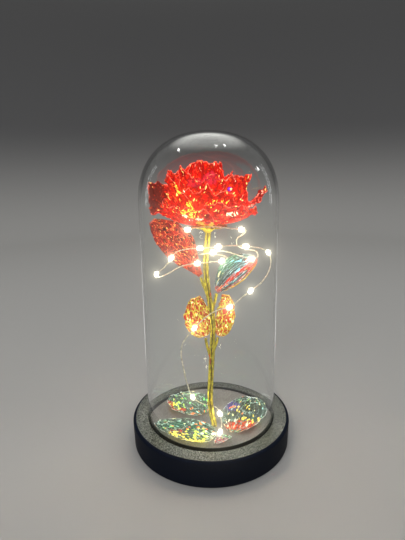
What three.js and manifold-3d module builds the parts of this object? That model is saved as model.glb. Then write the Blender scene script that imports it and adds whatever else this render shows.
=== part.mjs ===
import * as THREE from 'three';
import { mergeVertices } from 'three/addons/utils/BufferGeometryUtils.js';
import Module from 'manifold-3d';

const wasm = await Module();
wasm.setup();

// Driving dimensions, in millimetres. The origin is the middle of the base's underside, +Z is up
// and -Y is the front.
const overallHeight = 215;
const baseRadius = 56.6;
const footRadius = 56.2;
const footRounding = 0.8;
const ringRadius = 55;
const shoulderDrop = 1.8;
const deckHeight = 18.5;
const grooveOuterRadius = 45.8;
const deckRadius = 41.1;
const grooveDepth = 4;
const domeRadius = 45.4;
const domeWall = 2.2;
const domeCapHeight = 46;
const domeCapPower = 2.3;
const touchGap = 0.3;
const pocketRadius = 24.3;
const coverThickness = 1.7;
const coverRecess = 0.2;
const stemRadius = 1.95;
const stalkRadius = 0.95;
const bloomCentre = new THREE.Vector3(-0.5, -1.5, 0);
const stemTopHeight = 151.5;
const calyxNeckRadius = 2.3;
const sepalThickness = 0.7;
const receptacleTop = 168.9;
const petalThickness = 0.4;
const leafThickness = 0.5;
const wireRadius = 0.4;
const beadRadius = 1.7;
const beadBore = 1.02;
const beadLength = 3.4;

// Colours and finishes.
const paint = {
  base: { color: 0x0c0d10, roughness: 0.45, metalness: 0.0 },
  cover: { color: 0x15161a, roughness: 0.6, metalness: 0.0 },
  glass: { color: 0xdfe8ea, roughness: 0.03, metalness: 0.0, transparent: true, opacity: 0.25 },
  gold: { color: 0xc8981f, roughness: 0.28, metalness: 0.9 },
  redFilm: { color: 0xd8140c, roughness: 0.18, metalness: 0.2 },
  leafFilm: { color: 0xc43a18, roughness: 0.2, metalness: 0.3 },
  clearFilm: { color: 0x9db8b0, roughness: 0.12, metalness: 0.3 },
  wire: { color: 0xcfc3a2, roughness: 0.3, metalness: 1.0 },
  bead: { color: 0xfff1c9, roughness: 0.2, metalness: 0.0, emissive: 0xffe2a0 },
};

const group = new THREE.Group();

function addPiece(name, geometry, finish) {
  const mesh = new THREE.Mesh(geometry, new THREE.MeshStandardMaterial(finish));
  mesh.name = name;
  group.add(mesh);
  return mesh;
}

// Leaves only positions and shared vertices, which makes a mesh closed.
function closed(geometry) {
  geometry.deleteAttribute('normal');
  geometry.deleteAttribute('uv');
  return mergeVertices(geometry, 1e-4);
}

function toSolid(geometry) {
  const merged = closed(geometry);
  return new wasm.Manifold(new wasm.Mesh({
    numProp: 3,
    vertProperties: new Float32Array(merged.attributes.position.array),
    triVerts: new Uint32Array(merged.index.array),
  }));
}

function fromSolid(solid) {
  const mesh = solid.getMesh();
  const geometry = new THREE.BufferGeometry();
  geometry.setAttribute('position', new THREE.BufferAttribute(mesh.vertProperties, 3));
  geometry.setIndex(new THREE.BufferAttribute(mesh.triVerts, 1));
  return geometry;
}

// Turns an outline of [radius, height] points about the upright axis.
function turned(outline, segments) {
  const points = outline.map(([radius, height]) => new THREE.Vector2(radius, height));
  const geometry = new THREE.LatheGeometry(points, segments);
  geometry.rotateX(Math.PI / 2);
  return closed(geometry);
}

// Points of a quarter ellipse from angle `from` to angle `to`, both in degrees.
function arc(centreRadius, centreHeight, wide, high, from, to, steps) {
  return Array.from({ length: steps + 1 }, (_, i) => {
    const angle = THREE.MathUtils.degToRad(from + (to - from) * i / steps);
    return [centreRadius + wide * Math.cos(angle), centreHeight + high * Math.sin(angle)];
  });
}

// A round bar along a smooth curve through the points.
function bar(points, radius, sides, steps) {
  const section = new THREE.Shape(Array.from({ length: sides }, (_, i) => {
    const angle = 2 * Math.PI * i / sides;
    return new THREE.Vector2(radius * Math.cos(angle), radius * Math.sin(angle));
  }));
  const path = new THREE.CatmullRomCurve3(points.map((p) => new THREE.Vector3(...p)), false, 'centripetal');
  return new THREE.ExtrudeGeometry(section, { steps, bevelEnabled: false, extrudePath: path });
}

// A thin closed sheet on surface(u, v), with u and v from 0 to 1. The surface's two sides lie half
// a thickness away along its own normal.
function sheet(surface, acrossSteps, alongSteps, thickness) {
  const step = 1e-3;
  const columns = acrossSteps + 1;
  const rows = alongSteps + 1;
  const faces = [[], []];
  for (let j = 0; j < rows; j += 1) {
    for (let i = 0; i < columns; i += 1) {
      const u = i / acrossSteps;
      const v = j / alongSteps;
      const across = surface(Math.min(u + step, 1), v).sub(surface(Math.max(u - step, 0), v));
      const along = surface(u, Math.min(v + step, 1)).sub(surface(u, Math.max(v - step, 0)));
      const normal = across.cross(along).normalize().multiplyScalar(thickness / 2);
      const middle = surface(u, v);
      faces[0].push(middle.clone().add(normal));
      faces[1].push(middle.clone().sub(normal));
    }
  }
  const points = [...faces[0], ...faces[1]];
  const index = [];
  const back = faces[0].length;
  for (let j = 0; j < alongSteps; j += 1) {
    for (let i = 0; i < acrossSteps; i += 1) {
      const a = j * columns + i;
      const b = a + 1;
      const c = a + columns;
      const d = c + 1;
      index.push(a, b, d, a, d, c);
      index.push(back + a, back + d, back + b, back + a, back + c, back + d);
    }
  }
  const rim = [];
  for (let i = 0; i < acrossSteps; i += 1) rim.push(i);
  for (let j = 0; j < alongSteps; j += 1) rim.push(j * columns + acrossSteps);
  for (let i = acrossSteps; i > 0; i -= 1) rim.push(alongSteps * columns + i);
  for (let j = alongSteps; j > 0; j -= 1) rim.push(j * columns);
  rim.forEach((here, k) => {
    const next = rim[(k + 1) % rim.length];
    index.push(here, back + here, back + next, here, back + next, next);
  });
  const geometry = new THREE.BufferGeometry();
  geometry.setAttribute('position', new THREE.BufferAttribute(
    new Float32Array(points.flatMap((p) => [p.x, p.y, p.z])), 3));
  geometry.setIndex(index);
  return geometry;
}

// A closed skin whose outline of [radius, height] points may change with the angle round the
// upright axis. It starts and ends on the axis.
function modelled(outlineAt, segments) {
  const first = outlineAt(0);
  const inner = first.length - 2;
  const points = [new THREE.Vector3(0, 0, first[0][1])];
  for (let k = 0; k < segments; k += 1) {
    const angle = 2 * Math.PI * k / segments;
    outlineAt(angle).slice(1, -1).forEach(([radius, height]) => {
      points.push(new THREE.Vector3(radius * Math.cos(angle), radius * Math.sin(angle), height));
    });
  }
  points.push(new THREE.Vector3(0, 0, first[inner + 1][1]));
  const last = points.length - 1;
  const index = [];
  for (let k = 0; k < segments; k += 1) {
    const here = 1 + k * inner;
    const next = 1 + ((k + 1) % segments) * inner;
    index.push(0, next, here);
    for (let i = 0; i < inner - 1; i += 1) {
      index.push(here + i, next + i, next + i + 1, here + i, next + i + 1, here + i + 1);
    }
    index.push(here + inner - 1, next + inner - 1, last);
  }
  const geometry = new THREE.BufferGeometry();
  geometry.setAttribute('position', new THREE.BufferAttribute(
    new Float32Array(points.flatMap((p) => [p.x, p.y, p.z])), 3));
  geometry.setIndex(index);
  return geometry;
}

// The plinth, with its pocket underneath, rounded shoulder, groove and deck.
function makeBase() {
  const pocketTop = coverRecess + coverThickness + touchGap;
  const shoulderStart = deckHeight - shoulderDrop;
  const outline = [
    [0, pocketTop], [pocketRadius, pocketTop], [pocketRadius, 0],
    ...arc(footRadius - footRounding, footRounding, footRounding, footRounding, -90, 0, 2),
    ...arc(ringRadius, shoulderStart, baseRadius - ringRadius, shoulderDrop, 0, 90, 3),
    [grooveOuterRadius, deckHeight], [grooveOuterRadius, deckHeight - grooveDepth],
    [deckRadius, deckHeight - grooveDepth], [deckRadius, deckHeight], [0, deckHeight],
  ];
  addPiece('base', turned(outline, 40), paint.base);
}

// The round cover in the pocket, with a slot for a coin.
function makeCover() {
  const coverRadius = pocketRadius - touchGap;
  const slot = { length: 14, width: 2, depth: 0.8 };
  const disc = turned([[0, 0], [coverRadius, 0], [coverRadius, coverThickness], [0, coverThickness]], 32);
  const cutter = new THREE.BoxGeometry(slot.length, slot.width, 2 * slot.depth);
  const geometry = fromSolid(toSolid(disc).subtract(toSolid(cutter)));
  addPiece('battery_cover', geometry, paint.cover).position.z = coverRecess;
}

// One wall of the glass: a straight side, then a cap that is a little fuller than an ellipse.
function domeSide(radius, top, steps) {
  const capStart = overallHeight - domeCapHeight;
  return Array.from({ length: steps + 1 }, (_, i) => {
    const angle = Math.PI / 2 * (1 - i / steps);
    return [
      i === 0 ? 0 : radius * Math.cos(angle) ** (2 / domeCapPower),
      capStart + (top - capStart) * Math.sin(angle) ** (2 / domeCapPower),
    ];
  });
}

function makeDome() {
  const bottom = deckHeight - grooveDepth + touchGap;
  const innerRadius = domeRadius - domeWall;
  const outside = domeSide(domeRadius, overallHeight, 7);
  const inside = domeSide(innerRadius, overallHeight - domeWall, 7);
  const outline = [...inside, [innerRadius, bottom], [domeRadius, bottom], ...outside.reverse()];
  addPiece('glass_dome', turned(outline, 32), paint.glass);
}

// The wrapped stem, from the deck to the calyx, with the stalks of the four leaves.
const stemRoute = [
  [2.2, -14.5, deckHeight + touchGap], [2.2, -14.5, 20.6], [0.6, -13.6, 28], [-0.3, -12.8, 38],
  [0.5, -11, 57], [1.5, -9.6, 75], [2.1, -8.3, 89], [1.5, -7.4, 99], [-0.9, -6.2, 113],
  [-2.1, -5, 127], [-1.9, -3.2, 140], [bloomCentre.x, bloomCentre.y, stemTopHeight - 2],
  [bloomCentre.x, bloomCentre.y, stemTopHeight],
];
const stalkRoutes = [
  [[0.4, -6.9, 106], [-1.8, -7, 112], [-4, -6.6, 118], [-5.6, -6.4, 122.5]],
  [[1.4, -7.4, 99], [2.9, -7.4, 104], [4.1, -7.3, 109], [4.7, -7.2, 112]],
  [[0.9, -10.3, 66], [-0.8, -10.8, 72], [-2.3, -10.7, 78], [-2.9, -10.4, 82]],
  [[1.3, -10, 70], [3.2, -10.1, 75], [4.6, -9.8, 79], [5.2, -9.5, 82]],
];

function makeStem() {
  let solid = toSolid(bar(stemRoute, stemRadius, 8, 18));
  for (const route of stalkRoutes) solid = solid.add(toSolid(bar(route, stalkRadius, 5, 4)));
  addPiece('stem', fromSolid(solid), paint.gold);
}

// The bloom is a family of nested cups. Layer 0 is the middle of the bloom and layer 1 its
// outermost cup; `reach` runs from 0 at the root to 1 at the rim. Each cup is a cubic curve whose
// four control points move outwards and down with the layer, so no two cups meet.
function cupPoint(layer, reach) {
  const control = [
    [2 + 2.5 * layer, 166 - 9 * layer],
    [5.5 + 13.5 * layer, 175 - 20 * layer],
    [9 + 22 * layer, 187 - 24 * layer],
    [4 + 37 * layer, 196.5 - 30 * Math.abs(layer) ** 2.6],
  ];
  const rest = 1 - reach;
  const weights = [rest ** 3, 3 * rest ** 2 * reach, 3 * rest * reach ** 2, reach ** 3];
  return [0, 1].map((axis) => weights.reduce((sum, w, k) => sum + w * control[k][axis], 0));
}

// All cups share one ruffle, so it can't make them meet either. Its two lifts raise the bloom's left
// shoulder and its right lobe.
const lifts = [{ angle: 160, height: 13, sharpness: 6 }, { angle: 20, height: 6, sharpness: 8 }];

function ruffle(angle, layer, reach) {
  const strength = layer * THREE.MathUtils.smoothstep(reach, 0.45, 1);
  const lifted = lifts.reduce((sum, lift) => sum
    + lift.height * Math.max(Math.cos(angle - THREE.MathUtils.degToRad(lift.angle)), 0) ** lift.sharpness, 0);
  return strength * (1.7 * Math.cos(8 * angle) + 1.3 * Math.cos(5 * angle) + layer * lifted);
}

const rootReach = 0.1;
const receptacleReach = 0.085;
const layerSpiral = 0.05;
const petalOverlap = 1.35;

// Each ring has its layer, the angle of its first petal in degrees, and each petal's rim reach.
const rings = [
  { layer: 0.14, start: 250, reaches: [1, 0.97, 0.99] },
  { layer: 0.38, start: 215, reaches: [0.98, 0.9, 0.94, 1.03] },
  { layer: 0.62, start: 198, reaches: [1.04, 0.9, 1.03, 0.97, 1.02] },
  { layer: 0.88, start: 180, reaches: [1.07, 0.95, 0.97, 1.1, 1, 1.06] },
];

// A petal spans part of the turn, and passes from a little outside its ring's layer at one edge
// to a little inside at the other, so that it lies over one neighbour and under the next.
function petalSurface(ring, centreAngle, halfSpan, rimReach) {
  return (u, v) => {
    const side = 2 * u - 1;
    const angle = centreAngle + side * halfSpan;
    const layer = ring.layer + layerSpiral * side;
    const notch = 0.035 * Math.cos(3 * Math.PI * side);
    const rim = rimReach * (1 - 0.2 * Math.abs(side) ** 2.6 + notch * Math.abs(side));
    const reach = rootReach + (rim - rootReach) * v;
    const [radius, height] = cupPoint(layer, reach);
    return new THREE.Vector3(
      bloomCentre.x + radius * Math.cos(angle),
      bloomCentre.y + radius * Math.sin(angle),
      height + ruffle(angle, layer, reach),
    );
  };
}

function makePetals() {
  rings.forEach((ring, ringIndex) => {
    const count = ring.reaches.length;
    const halfSpan = petalOverlap * Math.PI / count;
    ring.reaches.forEach((rimReach, k) => {
      const centreAngle = THREE.MathUtils.degToRad(ring.start) + 2 * Math.PI * k / count;
      const surface = petalSurface(ring, centreAngle, halfSpan, rimReach);
      const geometry = sheet(surface, ringIndex < 2 ? 6 : 7, ringIndex < 2 ? 4 : 5, petalThickness);
      addPiece(`petal_${ringIndex + 1}_${k + 1}`, geometry, paint.redFilm);
    });
  });
}

// The rolled middle of the bloom.
function makeBud() {
  const bottom = receptacleTop + 2 * touchGap;
  const outline = [[0, bottom], [2.2, bottom], [3.6, 174], [4.6, 180], [4.7, 186], [3.9, 191.5],
    [2.4, 195.3], [0, 193.6]];
  const bud = modelled((angle) => outline.map(([radius, height]) => {
    const fold = 1 + 0.1 * Math.cos(3 * angle + 0.09 * (height - bottom));
    return [radius * fold, height];
  }), 15);
  addPiece('bud', bud, paint.redFilm).position.copy(bloomCentre);
}

// The gold cup on top of the stem. Five sepals spread under the outermost petals, and the cone
// inside them carries the roots of all the petals.
function makeCalyx() {
  const bottom = stemTopHeight + touchGap;
  const sepalLayer = 1.06;
  const geometry = modelled((angle) => {
    const sepal = 0.13 + 0.05 * Math.abs(Math.cos(2.5 * angle)) ** 1.5;
    const under = [0.02, 0.5, 1].map((part) => {
      const [radius, height] = cupPoint(sepalLayer, 0.06 + (sepal - 0.06) * part);
      return [radius, height - sepalThickness];
    });
    const tip = cupPoint(sepalLayer, sepal);
    const cone = [1, 0.66, 0.33, 0.03].map((layer) => cupPoint(layer, receptacleReach));
    const above = [tip, cupPoint(sepalLayer, 0.12), ...cone, [0, receptacleTop]];
    return [[0, bottom], [calyxNeckRadius, bottom], ...under, ...above];
  }, 25);
  addPiece('calyx', geometry, paint.gold).position.copy(bloomCentre);
}

// A leaf or petal blade from root to tip. `left` and `right` are its greatest half widths, seen
// along `facing` reversed with the tip up. `full` above 1 moves the widest place to the tip, a
// smaller `round` makes the outline rounder, `pleats` counts its folds, `fold` is their depth, and
// `bow` and `cup` bend it along and across.
function bladeSurface({ root, tip, facing, left, right, full, round, pleats, fold, bow, cup }) {
  const from = new THREE.Vector3(...root);
  const run = new THREE.Vector3(...tip).sub(from);
  const towards = new THREE.Vector3(...facing);
  const across = run.clone().cross(towards).normalize();
  const out = across.clone().cross(run).normalize();
  return (u, v) => {
    const side = 2 * u - 1;
    const spread = 0.07 + 0.93 * Math.sin(Math.PI * (0.02 + 0.95 * v ** full)) ** round;
    const width = (side < 0 ? left : right) * side * spread;
    const rise = bow * Math.sin(Math.PI * v) + cup * side ** 2 * spread
      + fold * Math.cos(pleats * Math.PI * side) * spread;
    return from.clone().addScaledVector(run, v).addScaledVector(across, width).addScaledVector(out, rise);
  };
}

const leaves = {
  leaf_upper_left: {
    root: [-6, -6.4, 123.8], tip: [-36.5, -9, 160], facing: [-0.1, -1, 0.15],
    left: 7.5, right: 14, full: 1.3, round: 0.85, pleats: 4, fold: 0.5, bow: 1.5, cup: -1.2,
  },
  leaf_upper_right: {
    root: [5, -7.2, 113], tip: [31.2, -4, 134.4], facing: [0, -1, 0.1],
    left: 12.6, right: 5.5, full: 1.05, round: 0.75, pleats: 5, fold: 0.8, bow: 0.5, cup: -0.8,
  },
  leaf_lower_left: {
    root: [-3.2, -10.3, 83.2], tip: [-8.5, -7.1, 109.5], facing: [0.55, -1, 0.1],
    left: 11.5, right: 7.5, full: 0.85, round: 0.55, pleats: 4, fold: 0.6, bow: -1.2, cup: -1.2,
  },
  leaf_lower_right: {
    root: [5.6, -9.4, 83.2], tip: [10.5, -5.1, 110.5], facing: [-0.35, -1, 0.1],
    left: 4.6, right: 8.6, full: 0.85, round: 0.55, pleats: 4, fold: 0.6, bow: -1.2, cup: -1.2,
  },
};

function makeLeaves() {
  for (const [name, blade] of Object.entries(leaves)) {
    addPiece(name, sheet(bladeSurface(blade), 8, 5, leafThickness), paint.leafFilm);
  }
}

// Loose petals lie on the deck, with their folds standing up from it.
const fallen = [
  { root: [-5.5, 0], tip: [-27, 31], left: 15.5, right: 15, full: 0.85, round: 0.6, fold: 0.55 },
  { root: [2, -30.5], tip: [-36.5, -12.5], left: 14.5, right: 12, full: 0.7, round: 0.6, fold: 0.6 },
  { root: [14.5, -25], tip: [31.5, 24.5], left: 14, right: 15.5, full: 0.9, round: 0.7, fold: 0.75 },
  { root: [2.5, -37.5], tip: [12.5, -29], left: 3.5, right: 4, full: 0.9, round: 0.7, fold: 0.3 },
];

function makeFallenPetals() {
  fallen.forEach((petal, k) => {
    const level = deckHeight + touchGap + leafThickness / 2 + petal.fold + 0.1;
    const blade = {
      ...petal, root: [...petal.root, level], tip: [...petal.tip, level], facing: [0, 0, 1],
      pleats: 4, bow: 0.6, cup: 0.9,
    };
    addPiece(`fallen_petal_${k + 1}`, sheet(bladeSurface(blade), 8, 4, leafThickness), paint.clearFilm);
  });
}

// The wire's route, from the deck, round the stem and leaves, to under the bloom. A point with
// `true` carries a bead.
const wireRoute = [
  [[5.2, -27.5, deckHeight + touchGap + wireRadius]], [[5.8, -26, 20.8], true], [[7, -22.4, 23.2]],
  [[6.9, -19.4, 26.4]], [[6, -16.5, 29.2], true], [[4.2, -11.9, 31]], [[-0.5, -8.7, 31.4]],
  [[-4.8, -10.8, 33.4]], [[-12, -15, 41], true], [[-15.5, -17, 52]],
  [[-17.5, -18, 63.5]], [[-19, -18, 74]], [[-17.8, -17, 81]],
  [[-14, -16, 86.5]], [[-10, -15.5, 91], true], [[-4.5, -15, 96.5]], [[1.5, -14.5, 101]],
  [[7.5, -14, 103.4]], [[13, -12.8, 104.2], true], [[17, -11.5, 106.6]], [[21.5, -10.5, 110.2]],
  [[27, -9, 114], true], [[35, -6.2, 119.5]], [[39.6, -4.4, 126]], [[41, -4, 132.5]],
  [[38.6, -6, 138.8], true], [[31, -10, 142.8]], [[23.5, -12, 144], true], [[14.5, -13, 144.8]],
  [[6, -13, 144.2], true], [[0, -12.6, 143.6]], [[-5.5, -12.2, 143.2], true], [[-14, -13, 142.9]],
  [[-20.5, -13.3, 141.2]], [[-24, -13.8, 137.4], true], [[-28, -14.2, 132]], [[-33.6, -13, 127], true],
  [[-34.8, -10.6, 124.4]], [[-31, -11.4, 124.8]], [[-25.5, -12, 127.5]], [[-20.5, -12.6, 130.5]],
  [[-15, -12.8, 132.6]], [[-7.5, -12.5, 133.6], true], [[0, -11.7, 134]], [[8.2, -10, 134.4], true],
  [[12, -5, 135.2]], [[8.5, 1, 136]], [[-0.5, 2.2, 136.4]], [[-6.2, -1.6, 137.2]], [[-4.6, -7.6, 138.4]],
  [[2.5, -9.4, 139.8], true], [[8.5, -9.6, 140.8]], [[14.5, -9.5, 139.4]], [[21.5, -9.1, 136.9]],
  [[27.4, -8.8, 135.2], true], [[31.6, -7.9, 136.4]], [[30.6, -7, 139.8]], [[25, -7.4, 141.2]],
  [[18.4, -8, 144]], [[18.2, -8.6, 148.6]], [[22, -9, 151.4]], [[23.4, -11.2, 154]],
  [[20.4, -12.7, 154.9], true], [[15, -13.2, 155.4]], [[9.5, -13.5, 156.4]],
  [[3.5, -13.8, 156.9]], [[-3, -14.2, 156.9]], [[-8.5, -14.8, 156.4]], [[-13, -15.2, 155.6], true],
  [[-16.5, -15, 156.2]],
];

function makeWireAndBeads() {
  const route = wireRoute.map(([point]) => point);
  addPiece('light_wire', closed(bar(route, wireRadius, 5, 140)), paint.wire);
  const path = new THREE.CatmullRomCurve3(route.map((p) => new THREE.Vector3(...p)), false, 'centripetal');
  const outline = [[beadBore, -beadLength / 2], [beadRadius, -beadLength / 6], [beadRadius, beadLength / 4],
    [beadBore, beadLength / 2], [beadBore, -beadLength / 2]];
  let count = 0;
  wireRoute.forEach(([point, hasBead], k) => {
    if (!hasBead) return;
    count += 1;
    const bead = addPiece(`led_${String(count).padStart(2, '0')}`, turned(outline, 5), paint.bead);
    const tangent = path.getTangent(k / (route.length - 1));
    bead.position.set(...point);
    bead.quaternion.setFromUnitVectors(new THREE.Vector3(0, 0, 1), tangent);
  });
}

makeBase();
makeCover();
makeDome();
makeStem();
makeCalyx();
makeBud();
makePetals();
makeLeaves();
makeFallenPetals();
makeWireAndBeads();

export default group;
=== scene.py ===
"""The looks of a film rose in a glass dome, with a wire of small lights wound round it.

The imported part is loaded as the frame, and its pieces are made again in full detail in the same places. Sizes
are millimetres, as on the part's drawing, and each mesh is put in at metres. The origin is the middle of the
base's underside, +Z is up and -Y is the front.
"""

import logging
import math
from dataclasses import dataclass, field
from enum import Enum
from typing import Any, Optional, Sequence, Union

import bpy
import numpy as np
from mathutils import Matrix, Vector


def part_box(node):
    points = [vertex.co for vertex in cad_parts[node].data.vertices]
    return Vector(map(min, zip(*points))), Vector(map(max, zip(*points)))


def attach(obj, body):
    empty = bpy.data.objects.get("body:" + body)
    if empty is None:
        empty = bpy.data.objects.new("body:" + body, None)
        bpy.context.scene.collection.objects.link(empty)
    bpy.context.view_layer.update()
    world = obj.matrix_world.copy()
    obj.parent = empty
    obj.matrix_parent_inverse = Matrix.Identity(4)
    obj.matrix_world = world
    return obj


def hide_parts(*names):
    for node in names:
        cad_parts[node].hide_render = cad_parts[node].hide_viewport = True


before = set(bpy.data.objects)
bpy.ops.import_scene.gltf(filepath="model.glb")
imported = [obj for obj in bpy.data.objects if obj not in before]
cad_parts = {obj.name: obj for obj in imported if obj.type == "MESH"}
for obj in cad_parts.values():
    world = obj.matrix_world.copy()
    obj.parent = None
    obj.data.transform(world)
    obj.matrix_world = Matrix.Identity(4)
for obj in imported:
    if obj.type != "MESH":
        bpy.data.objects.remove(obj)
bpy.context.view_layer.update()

log = logging.getLogger("rose_dome")

Array = np.ndarray
Colour = tuple[float, float, float]
Triple = tuple[float, float, float]
Socket = bpy.types.NodeSocket
Value = Union[float, Sequence[float], Socket]

MM = 0.001
BODY = "root"


def span(node: str) -> tuple[Array, Array]:
    """Returns the lowest and highest corner of a CAD node, in millimetres."""
    low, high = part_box(node)
    return np.array(low) / MM, np.array(high) / MM


# Read from the CAD boxes, in millimetres.
OVERALL_HEIGHT = span("glass_dome")[1][2]
DOME_RADIUS = span("glass_dome")[1][0]
DOME_BOTTOM = span("glass_dome")[0][2]
BASE_RADIUS = span("base")[1][0]
DECK_HEIGHT = span("base")[1][2]
STEM_TOP = span("stem")[1][2]
STEM_BOTTOM = span("stem")[0][2]

# As drawn in the CAD source: the gap between pieces that touch, the groove's outer wall, the deck, and the
# bloom's axis.
TOUCH_GAP = 0.3
GROOVE_OUTER_RADIUS = 45.8
DECK_RADIUS = 41.1
BLOOM_CENTRE = np.array([-0.5, -1.5, 0.0])

# For a zone that has no colour of its own, such as a window.
NO_COLOUR = (0.0, 0.0, 0.0)


class Slot(Enum):
    """The names of the record's material slots."""

    BASE = "base_black"
    GLASS = "clear_glass"
    GOLD = "gold_foil"
    RED = "red_film"
    LEAF = "leaf_film"
    CLEAR = "clear_film"
    WIRE = "light_wire"
    BEAD = "light_bead"


class Space(Enum):
    """What a pattern's places are read from."""

    OBJECT = "Object"
    SHEET = "UV"


class Seen(Enum):
    """What a studio lamp does: it lights and is reflected, is only reflected, or only lights."""

    FULLY = "fully"
    REFLECTED = "reflected"
    LIGHT_ONLY = "light only"


# Numbers and paths


def unit(vectors: Array) -> Array:
    """Returns the vectors divided by their lengths."""
    return vectors / np.maximum(np.linalg.norm(vectors, axis=-1, keepdims=True), 1e-9)


def smoothstep(value: Array, low: float, high: float) -> Array:
    """Returns 0 below low, 1 above high and a smooth S between them: 3t^2 - 2t^3."""
    part = np.clip((np.asarray(value, float) - low) / (high - low), 0.0, 1.0)
    return part * part * (3.0 - 2.0 * part)


@dataclass(frozen=True)
class Noise:
    """Smooth random numbers over space, the same on each run."""

    seed: int
    side: int = 32

    def at(self, points: Array, cell: float) -> Array:
        """Value noise: the eight corners of a lattice cell hold random numbers, blended by smooth weights.

        Args:
            points: Places, with three numbers in the last axis.
            cell: Width of a lattice cell, in the same unit.

        Returns:
            A number from -1 to 1 for each place.
        """
        table = np.random.default_rng(self.seed).uniform(-1.0, 1.0, (self.side,) * 3)
        scaled = np.asarray(points, float) / cell
        corner = np.floor(scaled).astype(int)
        part = scaled - corner
        part = part * part * (3.0 - 2.0 * part)
        total = np.zeros(scaled.shape[:-1])
        for offset in np.ndindex(2, 2, 2):
            weight = np.prod(np.where(offset, part, 1.0 - part), axis=-1)
            i, j, k = np.moveaxis((corner + offset) % self.side, -1, 0)
            total += weight * table[i, j, k]
        return total

    def creases(self, points: Array, cell: float) -> Array:
        """Returns sharp folds as in crumpled film, 1 at a fold's edge and falling off it: 1 - 3|noise|."""
        return 1.0 - 3.0 * np.abs(self.at(points, cell))

    def along(self, values: Array, cell: float) -> Array:
        """Returns noise over one number, from -1 to 1."""
        values = np.asarray(values, float)
        return self.at(np.stack([values, 0 * values + 0.37, 0 * values + 0.61], axis=-1), cell)

    def ragged(self, values: Array, layers: Sequence[Triple]) -> Array:
        """Returns the sum of noises over one number, each with its height, its shift and its cell."""
        return sum(height * self.along(values + shift, cell) for height, shift, cell in layers)


def smooth_path(points: Sequence[Sequence[float]], spacing: float) -> Array:
    """A smooth curve through the points: a centripetal Catmull-Rom curve, which has cubic pieces whose end
    slopes come from the neighbouring points, each spaced by the square root of its distance.

    Args:
        points: The places that the curve passes through.
        spacing: Distance between the stations that are returned.

    Returns:
        Stations at equal distances along the curve.
    """
    given = np.array(points, float)
    padded = np.concatenate([[2 * given[0] - given[1]], given, [2 * given[-1] - given[-2]]])
    fine = np.linspace(0, len(given) - 1, 24 * len(given))
    piece = np.minimum(fine.astype(int), len(given) - 2)
    w = (fine - piece)[:, None]
    p0, p1, p2, p3 = (padded[piece + k] for k in range(4))
    d0, d1, d2 = (np.linalg.norm(b - a, axis=1, keepdims=True) ** 0.5
                  for a, b in ((p0, p1), (p1, p2), (p2, p3)))
    slope1 = ((p1 - p0) / d0 - (p2 - p0) / (d0 + d1) + (p2 - p1) / d1) * d1
    slope2 = ((p2 - p1) / d1 - (p3 - p1) / (d1 + d2) + (p3 - p2) / d2) * d1
    curve = (p1 + slope1 * w + (3 * (p2 - p1) - 2 * slope1 - slope2) * w**2
             + (2 * (p1 - p2) + slope1 + slope2) * w**3)
    run = np.concatenate([[0], np.cumsum(np.linalg.norm(np.diff(curve, axis=0), axis=1))])
    stations = np.linspace(0, run[-1], max(int(run[-1] / spacing), 4) + 1)
    return np.stack([np.interp(stations, run, curve[:, k]) for k in range(3)], axis=1)


def path_frames(path: Array, front: Optional[Sequence[float]] = None) -> tuple[Array, Array, Array]:
    """Two directions square to a path at each station.

    With a front, the second direction looks as near to it as it can. Without one, both turn as little as they
    can: the turn that each station's first guess makes against the one before is added up and taken out.

    Args:
        path: Stations along the path.
        front: The direction that the second one looks in.

    Returns:
        The tangent and the two directions, which form a right-handed set with it.
    """
    tangent = unit(np.gradient(path, axis=0))
    side = unit(np.cross(front if front is not None else (0.31, 0.17, 0.93), tangent))
    if front is None:
        up = np.cross(tangent, side)
        brought = side[:-1] - tangent[1:] * np.sum(side[:-1] * tangent[1:], axis=1, keepdims=True)
        turn = np.arctan2(np.sum(brought * up[1:], axis=1), np.sum(brought * side[1:], axis=1))
        angle = np.concatenate([[0], np.cumsum(turn)])[:, None]
        side = np.cos(angle) * side + np.sin(angle) * up
    return tangent, side, np.cross(tangent, side)


# Meshes


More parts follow.
